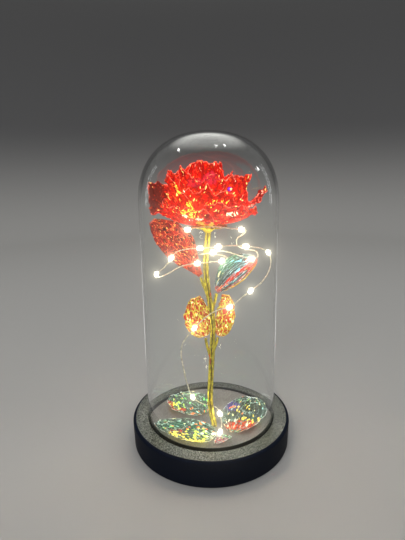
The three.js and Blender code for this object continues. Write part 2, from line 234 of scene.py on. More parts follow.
@dataclass(frozen=True)
class Shape:
    """A mesh before it is put in: points in millimetres, and faces of three or four corners."""

    points: Array
    faces: tuple[Array, ...]
    uv: Optional[Array] = None
    marks: dict[str, Array] = field(default_factory=dict)

    @staticmethod
    def joined(shapes: Sequence["Shape"]) -> "Shape":
        """Returns one shape of several, which all have the same marks."""
        starts = np.cumsum([0] + [len(s.points) for s in shapes])
        faces = tuple(f + start for s, start in zip(shapes, starts) for f in s.faces)
        uv = None if shapes[0].uv is None else np.concatenate([s.uv for s in shapes])
        marks = {key: np.concatenate([s.marks[key] for s in shapes]) for key in shapes[0].marks}
        return Shape(np.concatenate([s.points for s in shapes]), faces, uv, marks)

    def put_in(self, name: str, finish: bpy.types.Material, slot: Slot, *nodes: str,
               sharp: Optional[float] = None) -> None:
        """Makes the Blender object, in metres, and hides the CAD nodes that it replaces.

        Args:
            name: The object's name.
            finish: Its material.
            slot: The record's slot that the material comes from. Not used.
            *nodes: The CAD nodes that it replaces.
            sharp: Edges that turn by more than this, in degrees, stay sharp.
        """
        mesh = bpy.data.meshes.new(name)
        corners = np.concatenate([f.ravel() for f in self.faces]).astype(np.int32)
        sizes = np.concatenate([np.full(len(f), f.shape[1]) for f in self.faces])
        mesh.vertices.add(len(self.points))
        mesh.vertices.foreach_set("co", (self.points * MM).astype(np.float32).ravel())
        mesh.loops.add(len(corners))
        mesh.loops.foreach_set("vertex_index", corners)
        mesh.polygons.add(len(sizes))
        mesh.polygons.foreach_set("loop_start", (np.cumsum(sizes) - sizes).astype(np.int32))
        mesh.polygons.foreach_set("use_smooth", np.ones(len(sizes), bool))
        mesh.update(calc_edges=True)
        if self.uv is not None:
            uv = self.uv[corners].astype(np.float32).ravel()
            mesh.uv_layers.new(name="UVMap").data.foreach_set("uv", uv)
        for key, values in self.marks.items():
            mark = mesh.attributes.new(key, "FLOAT", "POINT")
            mark.data.foreach_set("value", values.astype(np.float32).ravel())
        if sharp is not None:
            mesh.set_sharp_from_angle(angle=math.radians(sharp))
        mesh.materials.append(finish)
        mesh.validate()
        piece = bpy.data.objects.new(name, mesh)
        bpy.context.scene.collection.objects.link(piece)
        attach(piece, BODY)
        if nodes:
            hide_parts(*nodes)
        log.info("%s: %d points, %d faces", name, len(self.points), len(sizes))


def grid_faces(rows: int, columns: int, closed: bool = False) -> Array:
    """Quads between the points of a grid, stored row after row, that face along (across x along).

    Args:
        rows: Number of rows.
        columns: Number of points in a row.
        closed: True if each row's last point meets its first.

    Returns:
        Four point numbers for each quad.
    """
    across = columns if closed else columns - 1
    row, column = np.meshgrid(np.arange(rows - 1), np.arange(across), indexing="ij")
    after = (column + 1) % columns
    return np.stack([row * columns + column, row * columns + after, (row + 1) * columns + after,
                     (row + 1) * columns + column], axis=-1).reshape(-1, 4)


def sheet_grid(rows: int, columns: int) -> tuple[Array, Array]:
    """Returns the places on a sheet: from 0 to 1 along it, and from -1 to 1 across."""
    along, side = np.meshgrid(np.linspace(0, 1, rows), np.linspace(-1, 1, columns), indexing="ij")
    return along, side


def sheet_normals(middle: Array) -> Array:
    """Returns the unit normal at each point of a grid: slope across x slope along."""
    return unit(np.cross(np.gradient(middle, axis=1), np.gradient(middle, axis=0)))


def closed_sheet(middle: Array, thickness: float, marks: Optional[dict[str, Array]] = None) -> Shape:
    """A thin sheet with front, back and edge: the middle surface moved both ways by half its thickness.

    Args:
        middle: Grid of points with rows from root to rim and columns across.
        thickness: The sheet's thickness.
        marks: Numbers for each point of the grid.

    Returns:
        The closed sheet, with a UV map that runs from 0 to 1 across and along.
    """
    rows, columns = middle.shape[:2]
    offset = sheet_normals(middle) * thickness / 2
    front = grid_faces(rows, columns)
    back = front[:, ::-1] + rows * columns
    number = np.arange(rows * columns).reshape(rows, columns)
    rim = np.concatenate([number[0, :-1], number[:-1, -1], number[-1, :0:-1], number[:0:-1, 0]])
    after = np.roll(rim, -1)
    edge = np.stack([rim, rim + rows * columns, after + rows * columns, after], axis=1)
    along, across = np.meshgrid(np.linspace(0, 1, rows), np.linspace(0, 1, columns), indexing="ij")
    uv = np.tile(np.stack([across, along], axis=-1).reshape(-1, 2), (2, 1))
    doubled = {key: np.tile(np.ravel(value), 2) for key, value in (marks or {}).items()}
    points = np.concatenate([(middle + offset).reshape(-1, 3), (middle - offset).reshape(-1, 3)])
    return Shape(points, (front, back, edge), uv, doubled)


def capped(rings: Array, first: Array, last: Array, marks: Optional[dict[str, Array]] = None) -> Shape:
    """A closed skin of rings of points, with a fan of triangles to a pole at either end.

    Args:
        rings: Points in rings, each ring anticlockwise as seen from the last pole.
        first: The pole before the first ring.
        last: The pole after the last ring.
        marks: Numbers for each point of the rings.

    Returns:
        The closed skin.
    """
    rows, columns = rings.shape[:2]
    here = np.arange(columns)
    after = (here + 1) % columns
    below, above, last_row = rows * columns, rows * columns + 1, (rows - 1) * columns
    start = np.stack([np.full(columns, below), after, here], axis=1)
    end = np.stack([np.full(columns, above), here + last_row, after + last_row], axis=1)
    points = np.concatenate([rings.reshape(-1, 3), [first, last]])
    full = {key: np.concatenate([np.ravel(value), [np.mean(value[0]), np.mean(value[-1])]])
            for key, value in (marks or {}).items()}
    return Shape(points, (grid_faces(rows, columns, closed=True), start, end), None, full)


def turned(radii: Array, heights: Array, segments: int, centre: Array = np.zeros(3)) -> Shape:
    """A shape turned about the upright axis, from an outline that starts and ends on the axis.

    Args:
        radii: Radius of each outline point, or one row of radii per point if it changes round the axis.
        heights: Height of each outline point, in the same form.
        segments: Number of points round the axis.
        centre: Where the axis stands.

    Returns:
        The closed shape.
    """
    radii, heights = (np.asarray(a, float).reshape(len(a), -1) * np.ones(segments) for a in (radii, heights))
    angle = 2 * np.pi * np.arange(segments) / segments
    rings = np.stack([radii * np.cos(angle), radii * np.sin(angle), heights], axis=-1) + centre
    axis = np.array([[0, 0, heights[0].mean()], [0, 0, heights[-1].mean()]]) + centre
    return capped(rings[1:-1], *axis)


def carried(path: Array, outline: Array, front: Optional[Sequence[float]] = None,
            marks: Optional[dict[str, Array]] = None) -> Shape:
    """A bar: an outline carried along a path, with closed ends.

    Args:
        path: Stations along the path.
        outline: For each station, the outline's points as distances along the path's two square directions.
        front: The direction that the outline's second axis looks in.
        marks: Numbers for each outline point of each station.

    Returns:
        The closed bar.
    """
    _, side, up = path_frames(path, front)
    rings = path[:, None] + outline[..., :1] * side[:, None] + outline[..., 1:] * up[:, None]
    return capped(rings, path[0], path[-1], marks)


def quarter(centre: tuple[float, float], wide: float, high: float, start: float, end: float,
            steps: int) -> Array:
    """Returns [radius, height] points on a part of an ellipse, from angle start to angle end in degrees."""
    angle = np.radians(np.linspace(start, end, steps + 1))
    return np.stack([centre[0] + wide * np.cos(angle), centre[1] + high * np.sin(angle)], axis=1)


def between(*corners: Sequence[float], step: float = 2.0) -> Array:
    """Returns points no further than a step apart on straight lines from corner to corner."""
    pieces = [np.array(corners[:1], float)]
    for a, b in zip(np.array(corners[:-1], float), np.array(corners[1:], float)):
        count = max(int(np.ceil(np.linalg.norm(b - a) / step)), 1)
        pieces.append(a + (b - a) * (np.arange(1, count + 1) / count)[:, None])
    return np.concatenate(pieces)


# Finishes


class Graph:
    """The nodes of one material, or of the world."""

    def __init__(self, owner: Union[bpy.types.Material, bpy.types.World]) -> None:
        """Clears the owner's nodes."""
        self.owner = owner
        owner.use_nodes = True
        self.tree = owner.node_tree
        self.tree.nodes.clear()

    @classmethod
    def named(cls, name: str) -> "Graph":
        """Returns the graph of a new material of that name."""
        return cls(bpy.data.materials.new(name))

    def add(self, kind: str, settings: Optional[dict[str, Any]] = None, **inputs: Value) -> bpy.types.Node:
        """Adds a node.

        Args:
            kind: The node's type without its ShaderNode prefix.
            settings: The node's own options.
            **inputs: Inputs by name, with _ for a blank. A socket is linked and a number is set.

        Returns:
            The new node.
        """
        node = self.tree.nodes.new("ShaderNode" + kind)
        for key, value in (settings or {}).items():
            setattr(node, key, value)
        for key, value in inputs.items():
            self.feed(node.inputs[key.replace("_", " ")], value)
        return node

    def feed(self, socket: Socket, value: Value) -> None:
        """Links a socket into an input, or sets the input to a number or colour."""
        if isinstance(value, Socket):
            self.tree.links.new(value, socket)
        elif isinstance(value, (int, float)):
            socket.default_value = value
        else:
            socket.default_value = (*value, 1.0) if socket.type == "RGBA" and len(value) == 3 else value

    def places(self, space: Space = Space.OBJECT, stretch: Sequence[float] = (1, 1, 1),
               shift: float = 0.0) -> Socket:
        """Returns the surface's own places, stretched and then shifted; Object places are in millimetres."""
        unit_scale = 1 / MM if space is Space.OBJECT else 1.0
        node = self.add("Mapping", Vector=self.add("TexCoord").outputs[space.value],
                        Location=(shift, 0.7 * shift, 0), Scale=[unit_scale * s for s in stretch])
        return node.outputs["Vector"]

    def result(self, kind: str, operation: str, values: Sequence[Value], output: str) -> Socket:
        """Returns an output of a node that works on values in turn, by its operation."""
        node = self.add(kind, {"operation": operation})
        for socket, value in zip(node.inputs, values):
            self.feed(socket, value)
        return node.outputs[output]

    def math(self, operation: str, *values: Value) -> Socket:
        """Returns the result of a Math node."""
        return self.result("Math", operation, values, "Value")

    def vector(self, operation: str, *values: Value) -> Socket:
        """Returns the vector that a Vector Math node makes."""
        return self.result("VectorMath", operation, values, "Vector")

    def times(self, first: Value, *others: Value) -> Value:
        """Returns the product of the values."""
        for other in others:
            first = self.math("MULTIPLY", first, other)
        return first

    def most(self, first: Value, *others: Value) -> Value:
        """Returns the largest of the values."""
        for other in others:
            first = self.math("MAXIMUM", first, other)
        return first

    def surface(self, kind: str = "Principled", **inputs: Value) -> Socket:
        """Returns the shader of a Bsdf node."""
        return self.add("Bsdf" + kind, **inputs).outputs["BSDF"]

    def ramp(self, value: Value, low: float, high: float, start: float = 0.0, end: float = 1.0) -> Socket:
        """Returns start below low, end above high and a smooth step between them."""
        node = self.add("MapRange", {"interpolation_type": "SMOOTHSTEP"}, Value=value,
                        From_Min=low, From_Max=high, To_Min=start, To_Max=end)
        return node.outputs["Result"]

    def blend(self, share: Value, first: Value, second: Value) -> Socket:
        """Returns a colour between two, by share."""
        node = self.add("Mix", {"data_type": "RGBA"})
        for number, value in ((0, share), (6, first), (7, second)):
            self.feed(node.inputs[number], value)
        return node.outputs[2]

    def noise(self, places: Socket, cell: float, seed: float, detail: float = 2.0) -> Socket:
        """Returns cloudy noise with features about a cell wide, near 0.5 on average."""
        node = self.add("TexNoise", {"noise_dimensions": "4D"}, Vector=places, W=seed, Scale=1 / cell,
                        Detail=detail)
        return node.outputs["Fac"]

    def facets(self, places: Socket, cell: float, seed: float) -> tuple[Socket, Socket]:
        """Returns a random number for each facet about a cell wide, and the distance from its middle."""
        node = self.add("TexVoronoi", {"voronoi_dimensions": "4D"}, Vector=places, W=seed, Scale=1 / cell)
        split = self.add("SeparateColor", Color=node.outputs["Color"])
        return split.outputs["Red"], node.outputs["Distance"]

    def cells(self, places: Socket) -> tuple[Socket, Socket, Socket]:
        """Cells about a unit wide on a flat sheet.

        Args:
            places: Places on the sheet.

        Returns:
            Each cell's random number, its random colour and the distance to its border.
        """
        inner = self.add("TexVoronoi", {"voronoi_dimensions": "2D"}, Vector=places, Scale=1.0)
        border = self.add("TexVoronoi", {"voronoi_dimensions": "2D", "feature": "DISTANCE_TO_EDGE"},
                          Vector=places, Scale=1.0)
        random = self.add("SeparateColor", Color=inner.outputs["Color"]).outputs["Red"]
        return random, inner.outputs["Color"], border.outputs["Distance"]

    def moved(self, places: Socket, drift: Socket, amount: float) -> Socket:
        """Returns places moved by a noise colour, centred on 0 and times an amount."""
        return self.vector("MULTIPLY_ADD", self.vector("SUBTRACT", drift, (0.5,) * 3), (amount,) * 3, places)

    def tilted(self, colour: Socket, amount: float) -> Socket:
        """Returns the surface's normal n tilted by a colour c, as a facet is: unit(n + amount (c - 1/2))."""
        return self.vector("NORMALIZE", self.moved(self.add("NewGeometry").outputs["Normal"], colour, amount))

    def near(self, places: Socket, centre: Sequence[float], reach: Sequence[float]) -> Socket:
        """Returns the distance from a centre, as a multiple of the reach along each axis."""
        scaled = self.vector("DIVIDE", self.vector("SUBTRACT", places, centre), reach)
        return self.result("VectorMath", "LENGTH", (scaled,), "Value")

    def mark(self, name: str) -> Socket:
        """Returns a number that the mesh holds at each point."""
        return self.add("Attribute", {"attribute_name": name}).outputs["Fac"]

    def bump(self, height: Value, depth: float, strength: float = 1.0,
             under: Optional[Socket] = None) -> Socket:
        """Returns a normal bent by a height, which is depth millimetres where the height is 1."""
        node = self.add("Bump", Height=height, Distance=depth * MM, Strength=strength)
        if under is not None:
            self.feed(node.inputs["Normal"], under)
        return node.outputs["Normal"]

    def mixed(self, share: Value, first: Socket, second: Socket) -> Socket:
        """Returns a shader between two, by share."""
        node = self.add("MixShader")
        for socket, value in zip(node.inputs, (share, first, second)):
            self.feed(socket, value)
        return node.outputs["Shader"]

    def finished(self, shader: Socket) -> bpy.types.Material:
        """Ends the material in a shader and returns it."""
        self.add("OutputMaterial", Surface=shader)
        return self.owner

    def finished_open(self, shader: Socket, tint: Colour) -> bpy.types.Material:
        """Ends the material in a shader that lets rays to a lamp pass straight, and returns it."""
        shadow = self.add("LightPath").outputs["Is Shadow Ray"]
        return self.finished(self.mixed(shadow, shader, self.surface("Transparent", Color=tint)))


@dataclass(frozen=True)
class SatinBase:
    """Black satin paint: blue-black side, grained painted sheen on the ring's top, painted light on the grey
    deck.

    A gloss is a specular level. The roughness follows the grain, and the side's own is added to it there.
    """

    side: Colour = (0.0016, 0.0040, 0.0120)
    # Painted sheen: the ring's top colours, lighter than the side's paint.
    ring: Colour = (0.025, 0.028, 0.027)
    ring_grain_and_sheen: Colour = (0.13, 0.14, 0.115)
    groove: Colour = (0.004, 0.005, 0.005)
    # Painted light: the deck's greys, lighter than the paint.
    deck: Colour = (0.16, 0.15, 0.14)
    deck_cloud: Colour = (0.23, 0.22, 0.205)
    side_gloss: float = 0.04
    ring_gloss: float = 0.8
    roughness: tuple[float, float] = (0.22, 0.30)
    side_roughness: float = 0.27
    ring_edge: float = 54.4
    grain_cell: float = 0.42
    cloud_cell: float = 11.0
    grain_depth: float = 0.05
    grain_strength: float = 0.15

    def material(self) -> bpy.types.Material:
        """Returns the finish, with each zone found from the distance to the axis and the height."""
        g = Graph.named("satin_base")
        places = g.places()
        axes = g.add("SeparateXYZ", Vector=places).outputs
        squares = (g.math("POWER", axes[name], 2.0) for name in "XY")
        radius = g.math("SQRT", g.math("ADD", *squares))
        on_top = g.times(g.ramp(axes["Z"], DECK_HEIGHT - 0.7, DECK_HEIGHT - 0.1),
                         g.ramp(radius, self.ring_edge + 0.5, self.ring_edge - 0.3))
        on_deck = g.times(on_top, g.ramp(radius, DECK_RADIUS, DECK_RADIUS - 0.3))
        in_groove = g.times(g.ramp(radius, GROOVE_OUTER_RADIUS + 0.1, GROOVE_OUTER_RADIUS - 0.2),
                            g.ramp(axes["Z"], DECK_HEIGHT - 0.1, DECK_HEIGHT - 0.5))
        grain = g.noise(places, self.grain_cell, 1.0, 3.0)
        cloud = g.noise(places, self.cloud_cell, 2.0)
        # Painted sheen: the ring's top is a lighter, grained grey than the side's paint.
        ring = g.blend(g.ramp(grain, 0.34, 0.66), self.ring, self.ring_grain_and_sheen)
        # Painted light: the deck is grey, with lighter clouds.
        deck = g.blend(g.ramp(cloud, 0.3, 0.7), self.deck, self.deck_cloud)
        deck = g.blend(g.ramp(grain, 0.3, 0.7, 0.0, 0.22), deck, [0.5 * c for c in self.deck])
        side = g.blend(g.ramp(grain, 0.4, 0.8), self.side, [1.7 * c for c in self.side])
        colour = g.blend(on_deck, g.blend(on_top, side, ring), deck)
        colour = g.blend(in_groove, colour, self.groove)
        rough = g.math("ADD", g.ramp(grain, 0.3, 0.7, *self.roughness),
                       g.ramp(on_top, 0.0, 1.0, self.side_roughness, 0.0))
        gloss = g.ramp(on_top, 0.0, 1.0, self.side_gloss, self.ring_gloss)
        normal = g.bump(grain, self.grain_depth, self.grain_strength)
        return g.finished(g.surface(Base_Color=colour, Roughness=rough, Normal=normal,
                                    Specular_IOR_Level=gloss))


@dataclass(frozen=True)
class MatteCover:
    """Matte black moulded plastic."""

    colour: Colour = (0.02, 0.021, 0.024)
    grain_cell: float = 0.4
    grain_depth: float = 0.06
    roughness: tuple[float, float] = (0.5, 0.7)

    def material(self) -> bpy.types.Material:
        """Returns the finish, with a fine moulded grain."""
        g = Graph.named("matte_cover")
        grain = g.noise(g.places(), self.grain_cell, 5.0, 3.0)
        colour = g.blend(grain, self.colour, [2 * c for c in self.colour])
        return g.finished(g.surface(Base_Color=colour, Roughness=g.ramp(grain, 0.3, 0.7, *self.roughness),
                                    Normal=g.bump(grain, self.grain_depth, 0.6)))


@dataclass(frozen=True)
class BlownGlass:
    """Clear polished glass, which lets lamp light through without bending it."""

    tint: Colour = (0.985, 0.995, 0.99)
    ior: float = 1.45

    def material(self) -> bpy.types.Material:
        """Returns the finish: full transmission without any roughness."""
        g = Graph.named("blown_glass")
        glass = g.surface(Base_Color=self.tint, Roughness=0.0, IOR=self.ior, Transmission_Weight=1.0)
        return g.finished_open(glass, self.tint)


@dataclass(frozen=True)
class GoldFoil:
    """Gold foil, wrapped tight: bright facets, dark olive in its folds as painted shade, and red film here and
    there.
    """

    bright: Colour = (0.80, 0.70, 0.06)
    dull: Colour = (0.52, 0.42, 0.015)
    # Painted shade in the folds.
    fold: Colour = (0.09, 0.055, 0.004)
    red: Colour = (0.80, 0.10, 0.01)
    red_start: float = 0.66
    red_cell: float = 3.5
    cloud_cell: float = 1.8
    facet_cell: float = 1.0
    squash: float = 0.35
    metallic: float = 0.62
    roughness: tuple[float, float] = (0.16, 0.34)

    def material(self) -> bpy.types.Material:
        """Returns the finish. The mesh's crease mark is 1 in a fold, and squash stretches the facets up."""
        g = Graph.named("gold_foil")
        places = g.places(stretch=(1, 1, self.squash))
        random, middle = g.facets(places, self.facet_cell, 3.0)
        cloud = g.noise(places, self.cloud_cell, 4.0, 3.0)
        colour = g.blend(g.ramp(cloud, 0.32, 0.6), self.dull, self.bright)
        reddish = g.ramp(g.noise(places, self.red_cell, 9.0), self.red_start, self.red_start + 0.05)
        colour = g.blend(reddish, colour, self.red)
        # Painted shade: dark olive where the crease mark is high and on a few random facets.
        shaded_folds = g.most(g.ramp(g.mark("crease"), 0.4, 0.9), g.ramp(random, 0.9, 0.96, 0.0, 0.6))
        colour = g.blend(shaded_folds, colour, self.fold)
        normal = g.bump(g.math("ADD", middle, random), 0.22, 0.6, g.bump(cloud, 0.3, 0.5))
        return g.finished(g.surface(Base_Color=colour, Metallic=self.metallic, Normal=normal,
                                    Roughness=g.ramp(random, 0, 1, *self.roughness)))


@dataclass(frozen=True)
class Zone:
    """A place on a film with a colour of its own, which fades out over its reach with a broken edge."""

    centre: Triple
    reach: Triple
    colour: Colour
    share: float = 1.0
    ragged: float = 0.8
    space: Space = Space.OBJECT


def zoned(*rows: Sequence[Any], space: Space = Space.OBJECT) -> tuple[Zone, ...]:
    """Returns a zone of each row: its centre, reach and colour, and if need be its share and raggedness."""
    return tuple(Zone(*row, space=space) for row in rows)


@dataclass(frozen=True)
class Patch:
    """A cloud of another colour all over a film, where noise passes a start value."""

    colour: Colour
    cell: float
    start: float
    seed: float
    soft: float = 0.06


@dataclass(frozen=True)
class CrinkledFilm:
    """Thin iridescent film: see-through, crinkled into cells; painted highlight on its veins, painted flecks of
    light.

    Attributes:
        name: The material's name.
        deep, bright: Colours of the darkest and the brightest cell.
        tint: What the film does to the colour of light that passes through it.
        line, line_width, line_share: Veins between cells with painted highlight: colour, half width in cells,
            share shown.
        cells: How many cells there are across the sheet and along it.
        patches, zones: Clouds all over the film, and places, with other colours.
        glints, windows: Places with many flecks, and places that are more see-through.
        fleck_cells, fleck_share, fleck_colours: How many flecks could stand across and along the sheet, the
            share of them that does, and their colours.
        zone_cover: How far a zone takes the clearness away.
        shade: How dark the painted shade in the folds beside the lines is.
        rim, rim_share: Colour of the bright edge, its outline with painted highlight, and how much of it shows.
        clear_middle, clear_edge: How see-through the film is in its middle and at its edge.
        glow_through: The share of light from behind that makes the film glow.
        crinkle, tilt: Depth of the finest creases in millimetres, and how far each cell leans.
        roughness, coat, specular: The film's gloss.
        film: Thickness of its iridescent layer in nanometres, or 0 for none.
        painted_glow, sparkle: How much the film glows as painted light of the string, all over and in its
            flecks.
        drift_scale, drift, fleck_drift: Noise that bends the rows of cells and flecks, and by how much.
        broken_cell: Width of the noise that breaks up lines, rims and the edges of zones.
        fine_cell: Width of the finest creases.
    """

    name: str
    deep: Colour
    bright: Colour
    tint: Colour
    line: Colour
    cells: tuple[float, float] = (11.0, 6.0)
    line_width: float = 0.07
    line_share: float = 0.5
    patches: tuple[Patch, ...] = ()
    zones: tuple[Zone, ...] = ()
    glints: tuple[Zone, ...] = ()
    windows: tuple[Zone, ...] = ()
    fleck_cells: tuple[float, float] = (34.0, 16.0)
    fleck_share: float = 0.03
    fleck_colours: tuple[Colour, ...] = ((1.0, 0.42, 0.10), (1.0, 0.86, 0.45))
    zone_cover: float = 0.0
    shade: float = 0.5
    rim: Colour = (1.0, 0.42, 0.30)
    rim_share: float = 0.5
    clear_middle: float = 0.10
    clear_edge: float = 0.4
    glow_through: float = 0.4
    roughness: float = 0.18
    crinkle: float = 0.35
    tilt: float = 0.8
    coat: float = 0.7
    specular: float = 0.4
    film: float = 0.0
    painted_glow: float = 0.1
    sparkle: float = 1.5
    drift_scale: float = 0.35
    drift: float = 0.8
    fleck_drift: float = 0.5
    broken_cell: float = 2.6
    fine_cell: float = 1.5

    def zone(self, g: Graph, places: dict[Space, Socket], zone: Zone, broken: Socket) -> Socket:
        """Returns how much of a zone shows: its share where distance / reach, with noise, is below 1."""
        away = g.near(places[zone.space], zone.centre, zone.reach)
        moved = g.math("MULTIPLY_ADD", broken, zone.ragged, away)
        return g.ramp(moved, 1.05 + 0.5 * zone.ragged, 0.75 + 0.5 * zone.ragged, 0.0, zone.share)

    def material(self) -> bpy.types.Material:
        """Returns the finish. The mesh's edge mark runs to 1 at the rim."""
        g = Graph.named(self.name)
        places = {space: g.places(space) for space in Space}
        here = places[Space.OBJECT]
        drift = g.add("TexNoise", Vector=here, Scale=self.drift_scale, Detail=2.0).outputs["Color"]
        broken = g.noise(here, self.broken_cell, 6.0)

        # Cells with veins between them, which carry painted highlight, then the clouds and places of other
        # colours.
        sheet = g.moved(g.places(Space.SHEET, (*self.cells, 1.0), 3.0), drift, self.drift)
        random, cell_colour, border = g.cells(sheet)
        gap = 0.3 * self.line_share
        line = g.times(g.ramp(border, self.line_width, 0.3 * self.line_width),
                       g.ramp(broken, 0.66 - gap, 0.74 - gap, 0.1, 1.0))
        colour = g.blend(random, self.deep, self.bright)
        for patch in self.patches:
            share = g.ramp(g.noise(here, patch.cell, patch.seed), patch.start, patch.start + patch.soft)
            colour = g.blend(share, colour, patch.colour)
        covered: Value = 0.0
        for zone in self.zones:
            share = self.zone(g, places, zone, broken)
            colour = g.blend(share, colour, zone.colour)
            covered = g.most(covered, share)
        # Painted shade: the folds beside the lines darken towards the deep colour.
        fold = g.times(g.ramp(border, 3.2 * self.line_width, 1.2 * self.line_width),
                       g.ramp(broken, 0.62, 0.45))
        colour = g.blend(g.times(fold, self.shade), colour, [0.3 * c for c in self.deep])
        colour = g.blend(line, colour, self.line)
        # Painted highlight along the rim, with the film's own outline.
        rim = g.times(g.ramp(g.mark("edge"), 0.94, 0.985), g.ramp(broken, 0.38, 0.56, 0.2, self.rim_share))
        colour = g.blend(rim, colour, self.rim)

        # Painted glints: flecks of light, which are many where there is a glint zone.
        specks = g.moved(g.places(Space.SHEET, (*self.fleck_cells, 1.0), 11.0), drift, self.fleck_drift)
        fleck_random, fleck_tilt, fleck_border = g.cells(specks)
        flecks: Value = g.ramp(fleck_random, 1 - self.fleck_share, 1.01 - self.fleck_share)
        hue = g.add("SeparateColor", Color=fleck_tilt).outputs["Green"]
        fleck_colour: Value = self.fleck_colours[0]
        for number, other in enumerate(self.fleck_colours[1:], 1):
            start = number / len(self.fleck_colours)
            fleck_colour = g.blend(g.ramp(hue, start - 0.04, start + 0.04), fleck_colour, other)
        for glint in self.glints:
            lit = g.ramp(g.math("ADD", fleck_random, self.zone(g, places, glint, broken)), 1.0, 1.02)
            fleck_colour = g.blend(lit, fleck_colour, glint.colour)
            flecks = g.most(flecks, lit)
        flecks = g.times(flecks, g.ramp(fleck_border, 0.02, 0.12))
        colour = g.blend(flecks, colour, fleck_colour)

        # The film's surface: each cell leans its own way, and fine creases cover it.
        fine, fine_middle = g.facets(here, self.fine_cell, 8.0)
        height = g.math("ADD", g.math("ADD", fine, fine_middle), g.times(line, 1.5))
        normal = g.bump(height, self.crinkle, 0.7, g.tilted(g.blend(0.4, cell_colour, fleck_tilt), self.tilt))
        shine = g.most(flecks, g.times(line, 0.5))
        # Painted glow: all over, and stronger in the flecks, the rim and the lines.
        lit_up = g.ramp(g.most(flecks, g.times(rim, 0.5), g.times(line, 0.3)), 0, 1,
                        self.painted_glow, self.sparkle)
        face = g.surface(Base_Color=colour, Roughness=self.roughness, Metallic=g.ramp(shine, 0, 1, 0, 0.45),
                         Specular_IOR_Level=self.specular, Coat_Weight=self.coat, Coat_Roughness=0.04,
                         Thin_Film_Thickness=self.film, Thin_Film_IOR=1.5, Normal=normal,
                         Emission_Color=colour, Emission_Strength=lit_up)
        body = g.mixed(self.glow_through, face, g.surface("Translucent", Color=colour, Normal=normal))

        # How see-through it is: more at the edge and in a window zone, less in a colour zone, line or fleck.
        clear: Value = g.ramp(g.mark("edge"), 0.35, 1.0, self.clear_middle, self.clear_edge)
        for window in self.windows:
            clear = g.most(clear, self.zone(g, places, window, broken))
        solid = g.most(flecks, g.times(line, 0.75), rim)
        clear = g.times(clear, g.ramp(random, 0.0, 1.0, 0.85, 1.08),
                        g.ramp(covered, 0.0, 1.0, 1.0, 1.0 - self.zone_cover),
                        g.ramp(solid, 0.0, 1.0, 1.0, 0.1))
        return g.finished(g.mixed(clear, body, g.surface("Transparent", Color=self.tint)))


@dataclass(frozen=True)
class LacqueredWire:
    """Bright pale wire with a clear lacquer."""

    colour: Colour = (0.95, 0.91, 0.76)
    dulled: float = 0.75
    cloud_cell: float = 2.0
    metallic: float = 0.35
    roughness: tuple[float, float] = (0.22, 0.38)

    def material(self) -> bpy.types.Material:
        """Returns the finish, slightly uneven along the wire."""
        g = Graph.named("lacquered_wire")
        cloud = g.noise(g.places(), self.cloud_cell, 3.0)
        colour = g.blend(cloud, [self.dulled * c for c in self.colour], self.colour)
        return g.finished(g.surface(Base_Color=colour, Metallic=self.metallic,
                                    Roughness=g.ramp(cloud, 0.3, 0.7, *self.roughness)))


@dataclass(frozen=True)
class LitResin:
    """A clear resin drop that its light fills, and that lets its lamp's light out."""

    pale: Colour = (1.0, 0.93, 0.8)
    warm: Colour = (1.0, 0.86, 0.6)
    cloud_cell: float = 1.2
    roughness: float = 0.15
    glow: Colour = (1.0, 0.92, 0.68)
    strength: float = 18.0

    def material(self) -> bpy.types.Material:
        """Returns the finish; the light's colour and strength are plain values."""
        g = Graph.named("lit_resin")
        colour = g.blend(g.noise(g.places(), self.cloud_cell, 3.0), self.pale, self.warm)
        drop = g.surface(Base_Color=colour, Roughness=self.roughness, Emission_Color=self.glow,
                         Emission_Strength=self.strength)
        return g.finished_open(drop, (1.0, 1.0, 1.0))


# Base and glass


@dataclass(frozen=True)
class Plinth:
    """The round base, with its pocket underneath, rounded shoulder, groove and deck."""

    foot_radius: float = 56.2
    foot_rounding: float = 0.8
    ring_radius: float = 55.0
    shoulder_drop: float = 1.8
    groove_depth: float = 4.0
    pocket_radius: float = 24.3
    pocket_top: float = 2.2
    edge_rounding: float = 0.25
    segments: int = 240

    def outline(self) -> Array:
        """Returns the turned outline from the pocket's middle, round the outside, to the deck's middle."""
        top, r = DECK_HEIGHT, self.edge_rounding
        shoulder = top - self.shoulder_drop
        bottom = top - self.groove_depth
        return np.concatenate([
            between((0, self.pocket_top), (self.pocket_radius, self.pocket_top), (self.pocket_radius, 0),
                    step=6),
            quarter((self.foot_radius - self.foot_rounding, self.foot_rounding), self.foot_rounding,
                    self.foot_rounding, -90, 0, 8),
            quarter((self.ring_radius, shoulder), BASE_RADIUS - self.ring_radius, self.shoulder_drop,
                    0, 90, 12),
            between((self.ring_radius - 1.5, top), (GROOVE_OUTER_RADIUS + r, top)),
            quarter((GROOVE_OUTER_RADIUS + r, top - r), r, r, 90, 180, 4),
            between((GROOVE_OUTER_RADIUS, bottom), (DECK_RADIUS, bottom)),
            quarter((DECK_RADIUS - r, top - r), r, r, 0, 90, 4),
            between((DECK_RADIUS - 1.5, top), (0, top), step=5),
        ])

    def build(self) -> None:
        """Puts in the base, and gives the cover its finish."""
        outline = self.outline()
        turned(outline[:, 0], outline[:, 1], self.segments).put_in(
            "base_turned", SatinBase().material(), Slot.BASE, "base", sharp=40)
        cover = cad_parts["battery_cover"]
        cover.data.materials.clear()
        cover.data.materials.append(MatteCover().material())


